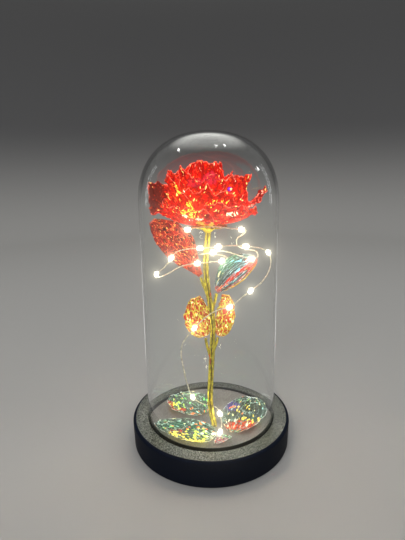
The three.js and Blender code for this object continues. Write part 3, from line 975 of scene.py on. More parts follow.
@dataclass(frozen=True)
class Cloche:
    """The blown glass: a straight wall with a cap that is a little fuller than an ellipse."""

    wall: float = 2.2
    cap_height: float = 46.0
    cap_power: float = 2.3
    cap_steps: int = 48
    segments: int = 256

    def side(self, radius: float, top: float) -> Array:
        """Returns [radius, height] points of the cap from the top down: a superellipse of the cap's power."""
        cap_start = OVERALL_HEIGHT - self.cap_height
        angle = np.pi / 2 * (1 - np.arange(self.cap_steps + 1) / self.cap_steps)
        power = 2 / self.cap_power
        wide = np.abs(np.cos(angle)) ** power
        wide[0] = 0.0
        return np.stack([radius * wide, cap_start + (top - cap_start) * np.sin(angle) ** power], axis=1)

    def build(self) -> None:
        """Puts in the glass."""
        inner = DOME_RADIUS - self.wall
        inside = self.side(inner, OVERALL_HEIGHT - self.wall)
        outside = self.side(DOME_RADIUS, OVERALL_HEIGHT)[::-1]
        lip = self.wall / 2
        rim = quarter((DOME_RADIUS - lip, DOME_BOTTOM + lip), -lip, lip, 0, -90, 6)
        rim_outer = quarter((DOME_RADIUS - lip, DOME_BOTTOM + lip), lip, lip, -90, 0, 6)
        outline = np.concatenate([inside, rim, rim_outer[1:], outside])
        turned(outline[:, 0], outline[:, 1], self.segments).put_in(
            "dome_glass", BlownGlass().material(), Slot.GLASS, "glass_dome")


# Stem and calyx


@dataclass(frozen=True)
class Stem:
    """Two foil-wrapped strands side by side as one stem, with the stalks of the four leaves.

    Attributes:
        radius, waist: The stem's radius, and how deep the groove between its strands is, as a part of it.
        stalk_radius, stalk_waist: The same of each stalk.
        sides, spacing: Points round a bar, and distance between its stations.
        sway, sway_length: How far the groove turns to and fro, in radians, and over what length.
        crease_cells: Widths of the creases.
        route, stalks: The points that the stem and each stalk pass through.
    """

    radius: float = 1.95
    waist: float = 0.42
    stalk_radius: float = 0.95
    stalk_waist: float = 0.1
    sides: int = 36
    spacing: float = 0.32
    sway: float = 0.45
    sway_length: float = 14.0
    crease_cells: tuple[float, float] = (0.7, 0.35)
    route: tuple[Triple, ...] = (
        (2.2, -14.5, STEM_BOTTOM), (2.2, -14.5, 20.6), (0.6, -13.6, 28), (-0.3, -12.8, 38), (0.5, -11, 57),
        (1.5, -9.6, 75), (2.1, -8.3, 89), (1.5, -7.4, 99), (-0.9, -6.2, 113), (-2.1, -5, 127),
        (-1.9, -3.2, 140), (*BLOOM_CENTRE[:2], STEM_TOP - 2), (*BLOOM_CENTRE[:2], STEM_TOP))
    stalks: tuple[tuple[Triple, ...], ...] = (
        ((0.4, -6.9, 106), (-1.8, -7, 112), (-4, -6.6, 118), (-5.6, -6.4, 122.5)),
        ((1.4, -7.4, 99), (2.9, -7.4, 104), (4.1, -7.3, 109), (4.7, -7.2, 112)),
        ((0.9, -10.3, 66), (-0.8, -10.8, 72), (-2.3, -10.7, 78), (-2.9, -10.4, 82)),
        ((1.3, -10, 70), (3.2, -10.1, 75), (4.6, -9.8, 79), (5.2, -9.5, 82)))

    def strand(self, route: Sequence[Sequence[float]], radius: float, waist: float, seed: int) -> Shape:
        """One bar of foil. Its outline has two lobes: radius x (1 - waist + waist |cos|), with fine creases.

        Args:
            route: The points that it passes through.
            radius: Its outer radius.
            waist: Depth of the groove between its two lobes, as a part of the radius.
            seed: Seed of its creases.

        Returns:
            The bar, with a crease mark that is 1 in the groove.
        """
        path = smooth_path(route, self.spacing)
        angle = 2 * np.pi * np.arange(self.sides) / self.sides
        height = path[:, 2:3]
        lobe = np.abs(np.cos(angle + self.sway * Noise(seed).along(height, self.sway_length)))
        noise = Noise(seed + 1)
        cylinder = np.stack([np.cos(angle) * 1.5 + 0 * height, np.sin(angle) * 1.5 + 0 * height,
                             0.35 * height + 0.6 * angle / np.pi], axis=-1)
        creases = sum(0.5 * noise.creases(cylinder, cell) for cell in self.crease_cells)
        size = radius * (1 - waist + waist * lobe**0.7) * (0.97 + 0.05 * creases)
        outline = np.stack([size * np.cos(angle), size * np.sin(angle)], axis=-1)
        # The crease mark, 1 in the groove and a little in the deepest creases, is where the gold foil paints
        # shade.
        crease = np.clip(1 - 1.6 * lobe, 0, 1) * (waist > 0.2) + 0.25 * (creases < -0.2)
        return carried(path, outline, (0, -1, 0), {"crease": crease})

    def build(self) -> None:
        """Puts in the stem with its stalks."""
        bars = [self.strand(self.route, self.radius, self.waist, 11)]
        bars += [self.strand(route, self.stalk_radius, self.stalk_waist, 20 + k)
                 for k, route in enumerate(self.stalks)]
        Shape.joined(bars).put_in("stem_foil", GoldFoil().material(), Slot.GOLD, "stem")


def cup_point(layer: Array, reach: Array) -> tuple[Array, Array]:
    """A place on one of the bloom's nested cups. Each cup is a cubic curve from root to rim, whose four
    control points move outwards and down with the layer, so no two cups meet.

    Args:
        layer: 0 in the middle of the bloom and 1 at its outermost cup.
        reach: 0 at the root and 1 at the rim.

    Returns:
        The distance from the bloom's axis, and the height.
    """
    rest = 1 - reach
    weights = (rest**3, 3 * rest**2 * reach, 3 * rest * reach**2, reach**3)
    radii = (2 + 2.5 * layer, 5.5 + 13.5 * layer, 9 + 22 * layer, 4 + 37 * layer)
    heights = (166 - 9 * layer, 175 - 20 * layer, 187 - 24 * layer, 196.5 - 30 * np.abs(layer) ** 2.6)
    return sum(w * r for w, r in zip(weights, radii)), sum(w * h for w, h in zip(weights, heights))


@dataclass(frozen=True)
class Calyx:
    """The gold cup under the bloom, with five sepals.

    Its outline follows the nested cups. A reach is how far up a cup a place lies: the rim's least reach and
    what a sepal adds, the reach where the underside starts, the one of the rim's inner edge, and the
    receptacle's.
    """

    rim_reach: tuple[float, float] = (0.13, 0.05)
    under_reach: float = 0.06
    inner_reach: float = 0.12
    bottom: float = STEM_TOP + TOUCH_GAP
    neck_radius: float = 2.3
    thickness: float = 0.7
    sepal_layer: float = 1.06
    receptacle_top: float = 168.9
    receptacle_reach: float = 0.085
    segments: int = 180

    def build(self) -> None:
        """Puts in the cup, whose rim swings out at each sepal by |cos(2.5 angle)|^1.5."""
        angle = 2 * np.pi * np.arange(self.segments) / self.segments
        sepal = self.rim_reach[0] + self.rim_reach[1] * np.abs(np.cos(2.5 * angle)) ** 1.5
        part = np.linspace(0.02, 1, 22)[:, None]
        under_r, under_z = cup_point(self.sepal_layer, self.under_reach + (sepal - self.under_reach) * part)
        inward = np.linspace(0, 1, 8)[:, None]
        over_r, over_z = cup_point(self.sepal_layer, sepal + (self.inner_reach - sepal) * inward)
        cone_r, cone_z = cup_point(np.linspace(1, 0.03, 14)[:, None] + 0 * angle, self.receptacle_reach)
        neck = np.linspace(0, 1, 10)[:, None]
        neck_r = self.neck_radius + (under_r[:1] - self.neck_radius) * neck**1.6
        neck_z = self.bottom + (under_z[:1] - self.thickness - self.bottom) * neck
        flute = 1 + 0.06 * np.cos(15 * angle)
        axis = 0 * angle[None]
        radii = np.concatenate([axis, neck_r * flute, under_r[1:], over_r, cone_r, axis])
        heights = np.concatenate([axis + self.bottom, neck_z, under_z[1:] - self.thickness, over_z, cone_z,
                                  axis + self.receptacle_top])
        shape = turned(radii, heights, self.segments, BLOOM_CENTRE)
        creases = Noise(31).creases(shape.points, 2.2) + 0.6 * Noise(32).creases(shape.points, 1.0)
        lift = np.zeros_like(shape.points)
        lift[:, 2] = 0.18 * creases * smoothstep(np.hypot(*(shape.points - BLOOM_CENTRE)[:, :2].T), 3.0, 8.0)
        # The crease mark is where the gold foil paints shade.
        crease = np.clip(0.4 - 0.5 * creases, 0, 1)
        Shape(shape.points + lift, shape.faces, None, {"crease": crease}).put_in(
            "calyx_foil", GoldFoil().material(), Slot.GOLD, "calyx")


# Bloom


def crumpled(middle: Array, amount: Array, seed: int) -> Array:
    """Crumples a surface: each point moves along the normal by sharp folds of three sizes, read from its
    place, so that sheets that lie together crumple together.

    Args:
        middle: Grid of points.
        amount: Depth of the folds at each point.
        seed: Seed of the folds.

    Returns:
        The crumpled grid.
    """
    sizes = ((0.5, 6.5), (0.34, 3.1), (0.2, 1.6))
    folds = sum(deep * Noise(seed + k).creases(middle, cell) for k, (deep, cell) in enumerate(sizes))
    return middle + sheet_normals(middle) * (amount * folds)[..., None]


@dataclass(frozen=True)
class Petal:
    """One petal of the bloom. It passes from a little outside its ring's layer at one edge to a little inside
    at the other, so that it lies over one neighbour and under the next.

    Attributes:
        name: The CAD node that it stands for.
        layer: Which of the nested cups it follows.
        centre, half_span: Its middle and half its width, as angles about the bloom's axis.
        reach: How far up its cup the middle of its rim lies.
        seed: Seed of its torn rim, waves and pleats.
        root_reach: How far up the cups all petals start.
        spiral: How many layers it lies further out or in at its edges.
        lifts: Places where the bloom stands higher: the angle, the height and how narrow it is.
        tears, waves: Layers of noise that shape its rim and the curl behind it.
        pleat_depth, pleat_width: Its pleats, in millimetres deep and in half widths wide.
        crumple: Depth of its folds near the root, and what the rim has more.
        rows, columns, thickness: Its grid, and the film's thickness.
    """

    name: str
    layer: float
    centre: float
    half_span: float
    reach: float
    seed: int
    root_reach: float = 0.1
    spiral: float = 0.075
    lifts: tuple[Triple, ...] = ((160, 13, 6), (20, 6, 8))
    tears: tuple[Triple, ...] = ((0.045, 5, 0.42), (0.028, 9, 0.15), (0.012, 13, 0.05))
    waves: tuple[Triple, ...] = ((2.6, 21, 0.30), (1.5, 27, 0.12))
    pleat_depth: float = 0.46
    pleat_width: float = 0.07
    crumple: tuple[float, float] = (0.25, 1.15)
    rows: int = 72
    columns: int = 104
    thickness: float = 0.12

    def middle(self) -> tuple[Array, Array]:
        """Returns the grid of the petal's middle surface, and how near the edge each point is, from 0 to 1.

        The rim's reach falls off as 1 - 0.2 |side|^2.6 towards the edges, with three notches and the tears.
        The outer half of the cup is ruffled by 1.7 cos(8 angle) + 1.3 cos(5 angle) millimetres and the lifts,
        and the last part of the petal curls down in waves.
        """
        along, side = sheet_grid(self.rows, self.columns)
        from_middle = np.abs(side)
        noise = Noise(self.seed)
        angle = self.centre + side * self.half_span
        layer = self.layer + self.spiral * side

        # Where each point lies on its cup.
        notch = 0.035 * np.cos(3 * np.pi * side) * from_middle
        rim = self.reach * (1 - 0.2 * from_middle**2.6 + notch + noise.ragged(side, self.tears))
        reach = self.root_reach + (rim - self.root_reach) * along
        radius, height = cup_point(layer, reach)
        lifted = sum(high * np.maximum(np.cos(angle - math.radians(at)), 0) ** sharp
                     for at, high, sharp in self.lifts)
        ruffle = layer * smoothstep(reach, 0.45, 1.0) * (1.7 * np.cos(8 * angle) + 1.3 * np.cos(5 * angle)
                                                         + layer * lifted)

        # The curled rim and the ragged side edges.
        curl = smoothstep(along, 0.72, 1.0) ** 2
        roll = curl * (1.0 + 2.2 * self.layer)
        radius = radius - 0.35 * roll
        height = (height + ruffle + curl * noise.ragged(side, self.waves) * (0.4 + self.layer)
                  - roll * (self.layer > 0.3))
        angle = angle + 0.035 * smoothstep(from_middle, 0.8, 1.0) * noise.along(along + 31, 0.16)
        grid = np.stack([radius * np.cos(angle), radius * np.sin(angle), height], axis=-1) + BLOOM_CENTRE

        # Pleats, which calm down at the side edges so that neighbours stay clear of each other.
        pleats = noise.along(side * (0.6 + 0.4 * along) + 41, self.pleat_width) * smoothstep(along, 0.05, 0.4)
        pleats = pleats * self.pleat_depth * (1 - 0.8 * smoothstep(from_middle, 0.86, 1.0))
        grid = grid + sheet_normals(grid) * (pleats * (0.35 + 0.65 * self.layer))[..., None]
        amount = self.crumple[0] + self.crumple[1] * smoothstep(reach, 0.15, 0.75)
        return crumpled(grid, amount, 51), np.maximum(along**2.2, from_middle**3 * along)

    def build(self, finish: bpy.types.Material) -> None:
        """Puts in the petal."""
        grid, edge = self.middle()
        film = closed_sheet(grid, self.thickness, {"edge": edge})
        film.put_in(f"{self.name}_film", finish, Slot.RED, self.name)


@dataclass(frozen=True)
class Bloom:
    """The bloom: a rolled middle, whose outline is given as radius and height, and four rings of petals.

    Each ring has its layer, the angle of its first petal in degrees, and the reach of each petal. A petal
    spans the overlap times its share of the turn.
    """

    overlap: float = 1.35
    bud_outline: tuple[tuple[float, float], ...] = (
        (0, 169.5), (2.2, 169.5), (3.6, 174), (4.6, 180), (4.7, 186), (3.9, 191.5), (2.4, 195.3), (0, 193.6))
    rings: tuple[tuple[float, float, tuple[float, ...]], ...] = (
        (0.14, 250, (1, 0.97, 0.99)), (0.38, 215, (0.98, 0.9, 0.94, 1.03)),
        (0.62, 198, (1.04, 0.9, 1.03, 0.97, 1.02)), (0.88, 180, (1.07, 0.95, 0.97, 1.1, 1, 1.06)))

    def finish(self) -> CrinkledFilm:
        """Returns the red film: painted gold glints low in the middle, a pink crown and clear maroon at the
        left.
        """
        gold, white, pale = (1.0, 0.78, 0.09), (1.0, 0.93, 0.66), (1.0, 0.55, 0.40)
        maroon, pink, dark = (0.13, 0.006, 0.006), (0.85, 0.06, 0.14), (0.55, 0.01, 0.01)
        violet = (0.45, 0.03, 1.0)
        return CrinkledFilm(
            "red_film", deep=(0.60, 0.001, 0.0005), bright=(1.0, 0.012, 0.001), tint=(0.90, 0.33, 0.26),
            line=(1.0, 0.10, 0.02), cells=(10.0, 5.5), line_width=0.08, line_share=0.5, fleck_share=0.03,
            fleck_cells=(50.0, 24.0), fleck_colours=((1.0, 0.30, 0.05), (1.0, 0.80, 0.25)),
            patches=(Patch((1.0, 0.04, 0.015), 6.0, 0.58, 11.0), Patch((1.0, 0.12, 0.004), 3.0, 0.60, 12.0),
                     Patch((0.35, 0.0, 0.001), 5.0, 0.62, 13.0)),
            # The violet zone is a painted glint.
            zones=zoned(
                ((-38, -6, 178), (12, 40, 17), maroon, 0.85), ((2, -12, 186), (5, 12, 4), pink, 0.7, 1.2),
                ((-8, -14, 184), (6, 10, 3), pink, 0.5, 1.2), ((12.7, -14, 179.8), (2.2, 8, 1.6), violet),
                ((36, -6, 175), (8, 30, 12), dark, 0.6), ((-4.8, -18, 159), (3.2, 9, 5), gold, 0.95, 1.2),
                ((2.3, -18, 159), (3, 9, 5), gold, 0.9, 1.2),
                ((-1.2, -16, 156.5), (7, 9, 2.2), gold, 0.8, 1.2)),
            # Painted glints, where the string's light shines through the film and catches its creases.
            glints=zoned(
                ((-9.5, -26, 168.5), (7, 9, 6), gold, 0.66, 1.1),
                ((-5, -22, 164), (3.2, 9, 2.4), white, 0.75, 1.0),
                ((-14, -24, 164.5), (2, 9, 1.6), white, 0.85, 1.0),
                ((14, -24, 165.5), (4, 9, 2.2), white, 0.6, 1.0),
                ((-18, -22, 181), (6, 9, 3.5), gold, 0.4, 1.0), ((6, -24, 171.5), (8, 8, 3), gold, 0.24, 1.0),
                ((-13, -22, 160.5), (3, 7, 3), white, 0.6, 1.0), ((4, -2, 192), (20, 14, 6), pale, 0.05, 1.0),
                ((14, -12, 186), (6, 9, 4), pale, 0.12, 1.0), ((30, -8, 172), (9, 16, 8), pale, 0.14, 1.0),
                ((-25, -20, 173), (8, 12, 7), gold, 0.14, 1.0)),
            windows=zoned(((-42, -4, 174), (15, 40, 18), NO_COLOUR, 0.95),
                          ((40, -4, 174), (10, 40, 16), NO_COLOUR, 0.9)),
            rim=(1.0, 0.22, 0.14), rim_share=1.0, clear_middle=0.06, clear_edge=0.3, glow_through=0.35,
            roughness=0.2, coat=0.25, specular=0.2, painted_glow=0.62, sparkle=1.8)

    def petals(self) -> list[Petal]:
        """Returns all the petals, with each ring spaced evenly round the turn."""
        made = []
        for number, (layer, start, reaches) in enumerate(self.rings, 1):
            half_span = self.overlap * math.pi / len(reaches)
            for k, reach in enumerate(reaches):
                centre = math.radians(start) + 2 * math.pi * k / len(reaches)
                made.append(Petal(f"petal_{number}_{k + 1}", layer, centre, half_span, reach,
                                  seed=100 + 17 * len(made)))
        return made

    def bud(self) -> Shape:
        """Returns the rolled middle: an upright bud whose radius swells at three folds that wind up it."""
        outline = np.array(self.bud_outline)
        bottom, tall = outline[0, 1], 26.0
        rows, segments = 90, 120
        part = np.linspace(0, len(outline) - 1, rows)
        radii, heights = (np.interp(part, np.arange(len(outline)), outline[:, k])[:, None] for k in (0, 1))
        angle = 2 * np.pi * np.arange(segments) / segments
        fold = 1 + 0.1 * np.cos(3 * angle + 0.09 * (heights - bottom))
        places = np.stack([np.cos(angle) * 4 + 0 * heights, np.sin(angle) * 4 + 0 * heights,
                           heights + 0 * angle], axis=-1)
        creases = 0.07 * Noise(71).creases(places, 3.0) + 0.05 * Noise(72).creases(places, 1.4)
        shape = turned(radii * (fold + creases), heights + 0 * angle, segments, BLOOM_CENTRE)
        uv = np.stack([np.arctan2(*(shape.points - BLOOM_CENTRE)[:, :2].T) / (2 * np.pi),
                       (shape.points[:, 2] - bottom) / tall], axis=1)
        return Shape(shape.points, shape.faces, uv, {"edge": np.full(len(shape.points), 0.2)})

    def build(self) -> None:
        """Puts in the bud and the petals."""
        finish = self.finish().material()
        self.bud().put_in("bud_film", finish, Slot.RED, "bud")
        for petal in self.petals():
            petal.build(finish)


# Leaves and loose petals


@dataclass(frozen=True)
class Blade:
    """A leaf or petal blade from root to tip, with pleats along it.

    Attributes:
        name: The CAD node that it stands for.
        root, tip, facing: Where it starts and ends, and the direction that its front looks in.
        left, right: Its half width at either side.
        full, roundness: Where along it the outline is widest, and how blunt its ends are.
        pleats, fold: How many pleats there are, and how deep they are.
        bow, cup: How far it bends along its length and across it.
        seed: Seed of its frayed edge, veins and folds.
        crumple: Depth of its folds.
        rows, columns, thickness: Its grid, and the film's thickness.
    """

    name: str
    root: Triple
    tip: Triple
    facing: Triple
    left: float
    right: float
    full: float
    roundness: float
    pleats: float
    fold: float
    bow: float
    cup: float
    seed: int
    crumple: float = 0.7
    rows: int = 110
    columns: int = 96
    thickness: float = 0.14

    def middle(self) -> tuple[Array, Array]:
        """Returns the grid of the blade's middle surface, and how near the edge each point is, from 0 to 1.

        The half width at each side follows sin(pi (0.02 + 0.95 v^full))^roundness from root to tip. The
        surface bows along its length, cups across and has a cosine for its pleats.
        """
        along, side = sheet_grid(self.rows, self.columns)
        root, run = np.array(self.root), np.array(self.tip) - np.array(self.root)
        across = unit(np.cross(run, self.facing))
        out = unit(np.cross(across, run))
        ragged = Noise(self.seed)
        spread = 0.07 + 0.93 * np.sin(np.pi * (0.02 + 0.95 * along**self.full)) ** self.roundness
        fray = (1 + 0.07 * ragged.along(along + 3 + 7 * (side > 0), 0.11)
                + 0.04 * ragged.along(along + 9, 0.035))
        width = np.where(side < 0, self.left, self.right) * side * spread * fray
        rise = (self.bow * np.sin(np.pi * along) + self.cup * side**2 * spread
                + self.fold * np.cos(self.pleats * np.pi * side) * spread)
        veins = 0.22 * np.cos(4 * self.pleats * np.pi * side + 3 * ragged.along(along, 0.2)) * spread
        grid = (root + run * along[..., None] + across * width[..., None] + out * (rise + veins)[..., None])
        edge = np.maximum(np.abs(side) ** 3, smoothstep(along, 0.8, 1.0))
        return crumpled(grid, self.crumple * smoothstep(along, 0.0, 0.2) + 0 * side, self.seed + 3), edge

    def build(self, finish: bpy.types.Material, slot: Slot) -> None:
        """Puts in the blade."""
        grid, edge = self.middle()
        film = closed_sheet(grid, self.thickness, {"edge": edge})
        film.put_in(f"{self.name}_film", finish, slot, self.name)


@dataclass(frozen=True)
class Leaves:
    """The four leaves of the stem."""

    blades: tuple[Blade, ...] = (
        Blade("leaf_upper_left", (-6, -6.4, 123.8), (-36.5, -9, 160), (-0.1, -1, 0.15), left=7.5, right=14,
              full=1.3, roundness=0.85, pleats=4, fold=0.5, bow=1.5, cup=-1.2, seed=201),
        Blade("leaf_upper_right", (5, -7.2, 113), (31.2, -4, 134.4), (0, -1, 0.1), left=12.6, right=5.5,
              full=1.05, roundness=0.75, pleats=5, fold=0.8, bow=0.5, cup=-0.8, seed=221),
        Blade("leaf_lower_left", (-3.2, -10.3, 83.2), (-8.5, -7.1, 109.5), (0.55, -1, 0.1), left=11.5,
              right=7.5, full=0.85, roundness=0.55, pleats=4, fold=0.6, bow=-1.2, cup=-1.2, seed=241,
              crumple=1.0),
        Blade("leaf_lower_right", (6.1, -9.7, 83.2), (10.5, -5.1, 110.5), (-0.35, -1, 0.1), left=4.2,
              right=8.6, full=0.85, roundness=0.55, pleats=4, fold=0.6, bow=-1.2, cup=-1.2, seed=261,
              crumple=1.0))

    def finishes(self) -> dict[str, CrinkledFilm]:
        """Returns the film of each leaf."""
        gold, white, cyan = (1.0, 0.72, 0.16), (0.95, 0.93, 0.85), (0.40, 0.85, 0.95)
        red_tip, amber, green = (1.0, 0.04, 0.004), (0.95, 0.60, 0.06), (0.10, 0.48, 0.24)
        red = CrinkledFilm(
            "leaf_red_film", deep=(0.42, 0.006, 0.006), bright=(1.0, 0.03, 0.01), tint=(0.55, 0.12, 0.09),
            line=(1.0, 0.22, 0.07), cells=(15.0, 9.0), line_width=0.11, line_share=1.0, fleck_share=0.035,
            shade=0.8, fleck_colours=((1.0, 0.40, 0.10), (1.0, 0.80, 0.40)),
            patches=(Patch((0.9, 0.10, 0.02), 3.0, 0.60, 21.0), Patch((0.20, 0.02, 0.02), 3.5, 0.60, 22.0)),
            glints=zoned(((-24, -8, 146), (14, 9, 18), gold, 0.05, 1.0)),
            fleck_cells=(70.0, 34.0), clear_middle=0.5, clear_edge=0.72, coat=0.3, specular=0.25, painted_glow=0.55)
        fan = CrinkledFilm(
            "leaf_fan_film", deep=(0.03, 0.07, 0.07), bright=(0.14, 0.26, 0.27), tint=(0.72, 0.79, 0.80),
            line=(0.86, 0.97, 1.0), cells=(17.0, 0.8), line_width=0.07, line_share=1.0, fleck_share=0.04,
            patches=(Patch((0.08, 0.42, 0.42), 4.0, 0.52, 31.0, 0.1),),
            zones=zoned(
                ((0.66, 0.98, 0), (0.5, 0.28, 1), red_tip, 1.0, 0.5),
                ((0.50, 0.45, 0), (0.10, 0.55, 1), red_tip, 0.95, 0.4),
                ((0.80, 0.62, 0), (0.07, 0.5, 1), red_tip, 0.8, 0.4),
                ((0.98, 0.5, 0), (0.12, 0.6, 1), amber, 0.9, 0.4),
                ((0.5, 0.0, 0), (0.6, 0.12, 1), red_tip, 0.6, 0.4),
                ((0.08, 0.5, 0), (0.18, 0.3, 1), green, 0.6, 0.5),
                space=Space.SHEET),
            glints=zoned(
                ((0.3, 0.7, 0), (0.25, 0.3, 1), cyan, 0.22), ((0.7, 0.6, 0), (0.2, 0.4, 1), white, 0.12),
                ((0.7, 0.9, 0), (0.3, 0.3, 1), gold, 0.08), space=Space.SHEET),
            windows=zoned(((0.08, 0.5, 0), (0.28, 0.7, 1), NO_COLOUR, 0.8, 0.4), space=Space.SHEET),
            fleck_cells=(60.0, 7.0), clear_middle=0.74, clear_edge=0.74, zone_cover=0.7, coat=0.4,
            specular=0.3, painted_glow=0.4)
        golden = CrinkledFilm(
            "leaf_gold_film", deep=(0.85, 0.035, 0.003), bright=(1.0, 0.16, 0.008), tint=(0.7, 0.42, 0.2),
            line=(0.85, 0.82, 0.12), cells=(10.0, 5.5), line_width=0.17, line_share=1.1, shade=0.3,
            fleck_share=0.12, fleck_colours=((0.85, 0.85, 0.10), (1.0, 1.0, 0.55)),
            patches=(Patch((0.85, 0.62, 0.06), 2.6, 0.56, 41.0), Patch((0.55, 0.05, 0.01), 4.0, 0.66, 42.0)),
            rim=(1.0, 0.75, 0.2), rim_share=0.9, fleck_cells=(44.0, 20.0), clear_middle=0.2, clear_edge=0.4,
            coat=0.5, specular=0.3, painted_glow=0.18)
        return {"leaf_upper_left": red, "leaf_upper_right": fan, "leaf_lower_left": golden,
                "leaf_lower_right": golden}

    def build(self) -> None:
        """Puts in the leaves."""
        films = self.finishes()
        made: dict[str, bpy.types.Material] = {}
        for blade in self.blades:
            film = films[blade.name]
            if film.name not in made:
                made[film.name] = film.material()
            blade.build(made[film.name], Slot.LEAF)


@dataclass(frozen=True)
class FallenPetals:
    """Loose petals of clear film that lie on the deck, each with its folds standing up from it.

    Attributes:
        places: For each, its root and tip in plan, its left and right half width, the fullness and roundness
            of its outline, and the depth of its folds.
        film_gap: Its height over the solid's underside, without the folds.
        pleats, bow, cup, crumple: The blade's own, the same for all.
    """

    places: tuple[tuple[tuple[float, float], tuple[float, float], float, float, float, float, float], ...] = (
        ((-5.5, 0), (-27, 31), 15.5, 15, 0.85, 0.6, 0.55),
        ((2, -30.5), (-36.5, -12.5), 14.5, 12, 0.7, 0.6, 0.6),
        ((14.5, -25), (31.5, 24.5), 14, 15.5, 0.9, 0.7, 0.75),
        ((2.5, -37.5), (12.5, -29), 3.5, 4, 0.9, 0.7, 0.3))
    film_gap: float = 0.35
    pleats: float = 4
    bow: float = 0.6
    cup: float = 0.9
    crumple: float = 0.35

    def finish(self) -> CrinkledFilm:
        """Returns the clear film, with its colours where each petal shows them."""
        red, gold, green, white = (1.0, 0.10, 0.02), (1.0, 0.78, 0.14), (0.25, 0.9, 0.22), (1.0, 0.95, 0.70)
        lime, pink = (0.72, 0.95, 0.16), (0.75, 0.16, 0.28)
        teal, violet, olive = (0.05, 0.30, 0.18), (0.20, 0.14, 0.50), (0.08, 0.10, 0.03)
        return CrinkledFilm(
            "clear_film", deep=(0.03, 0.07, 0.05), bright=(0.16, 0.28, 0.19), tint=(0.86, 0.94, 0.90),
            line=(0.62, 0.80, 0.70), cells=(9.0, 3.4), line_width=0.06, line_share=0.9, fleck_share=0.09,
            fleck_colours=((0.30, 0.85, 0.22), (1.0, 0.95, 0.55), (1.0, 0.28, 0.06), (0.55, 0.85, 0.80)),
            shade=0.7,
            patches=(Patch(teal, 5.0, 0.52, 51.0), Patch((0.30, 0.28, 0.42), 6.0, 0.58, 52.0)),
            zones=zoned(
                ((-31, 12, 20), (5, 8, 9), red, 1.0, 0.5), ((-24, 4.5, 20), (7, 3.5, 9), red, 0.8, 0.6),
                ((-20, -17, 20), (16, 5, 9), teal, 0.7), ((15, 10, 20), (8, 9, 9), violet, 0.9),
                ((30, 10, 20), (8, 10, 9), olive, 0.8), ((21, -17, 20), (13, 7, 9), red, 0.9),
                ((7, -35.5, 20), (6, 5, 9), pink, 0.8), ((-23, -24, 20), (5, 3, 9), red, 0.6)),
            glints=zoned(
                ((-14, -35, 20), (14, 5, 9), gold, 0.55, 1.0), ((-16, -28, 20), (14, 4, 9), gold, 0.4, 1.0),
                ((-25, 11, 20), (8, 6, 9), lime, 0.3, 1.0), ((-12, -22, 20), (12, 5, 9), red, 0.2, 1.0),
                ((-2, -28, 20), (6, 5, 9), white, 0.6, 1.0), ((-9, -27, 20), (8, 7, 9), lime, 0.3, 1.0),
                ((21, -13, 20), (13, 7, 9), white, 0.22, 1.0), ((27, -10, 20), (8, 5, 9), gold, 0.4, 1.0),
                ((-10, 20, 20), (14, 12, 9), green, 0.10, 1.0), ((24, 6, 20), (9, 5, 9), gold, 0.16, 1.0),
                ((14, 20, 20), (6, 6, 9), red, 0.2, 1.0)),
            fleck_cells=(34.0, 17.0), zone_cover=0.7, rim=(0.85, 0.88, 0.84), rim_share=1.0,
            clear_middle=0.80, clear_edge=0.72, glow_through=0.2, roughness=0.15, specular=0.5, film=430.0,
            painted_glow=0.2, sparkle=1.4)

    def build(self) -> None:
        """Puts in the loose petals."""
        finish = self.finish().material()
        for k, (root, tip, left, right, full, roundness, fold) in enumerate(self.places, 1):
            level = DECK_HEIGHT + TOUCH_GAP + self.film_gap + fold
            Blade(f"fallen_petal_{k}", (*root, level), (*tip, level), (0, 0, 1), left, right, full, roundness,
                  self.pleats, fold, self.bow, self.cup, 300 + 20 * k, self.crumple).build(finish, Slot.CLEAR)


# Lights


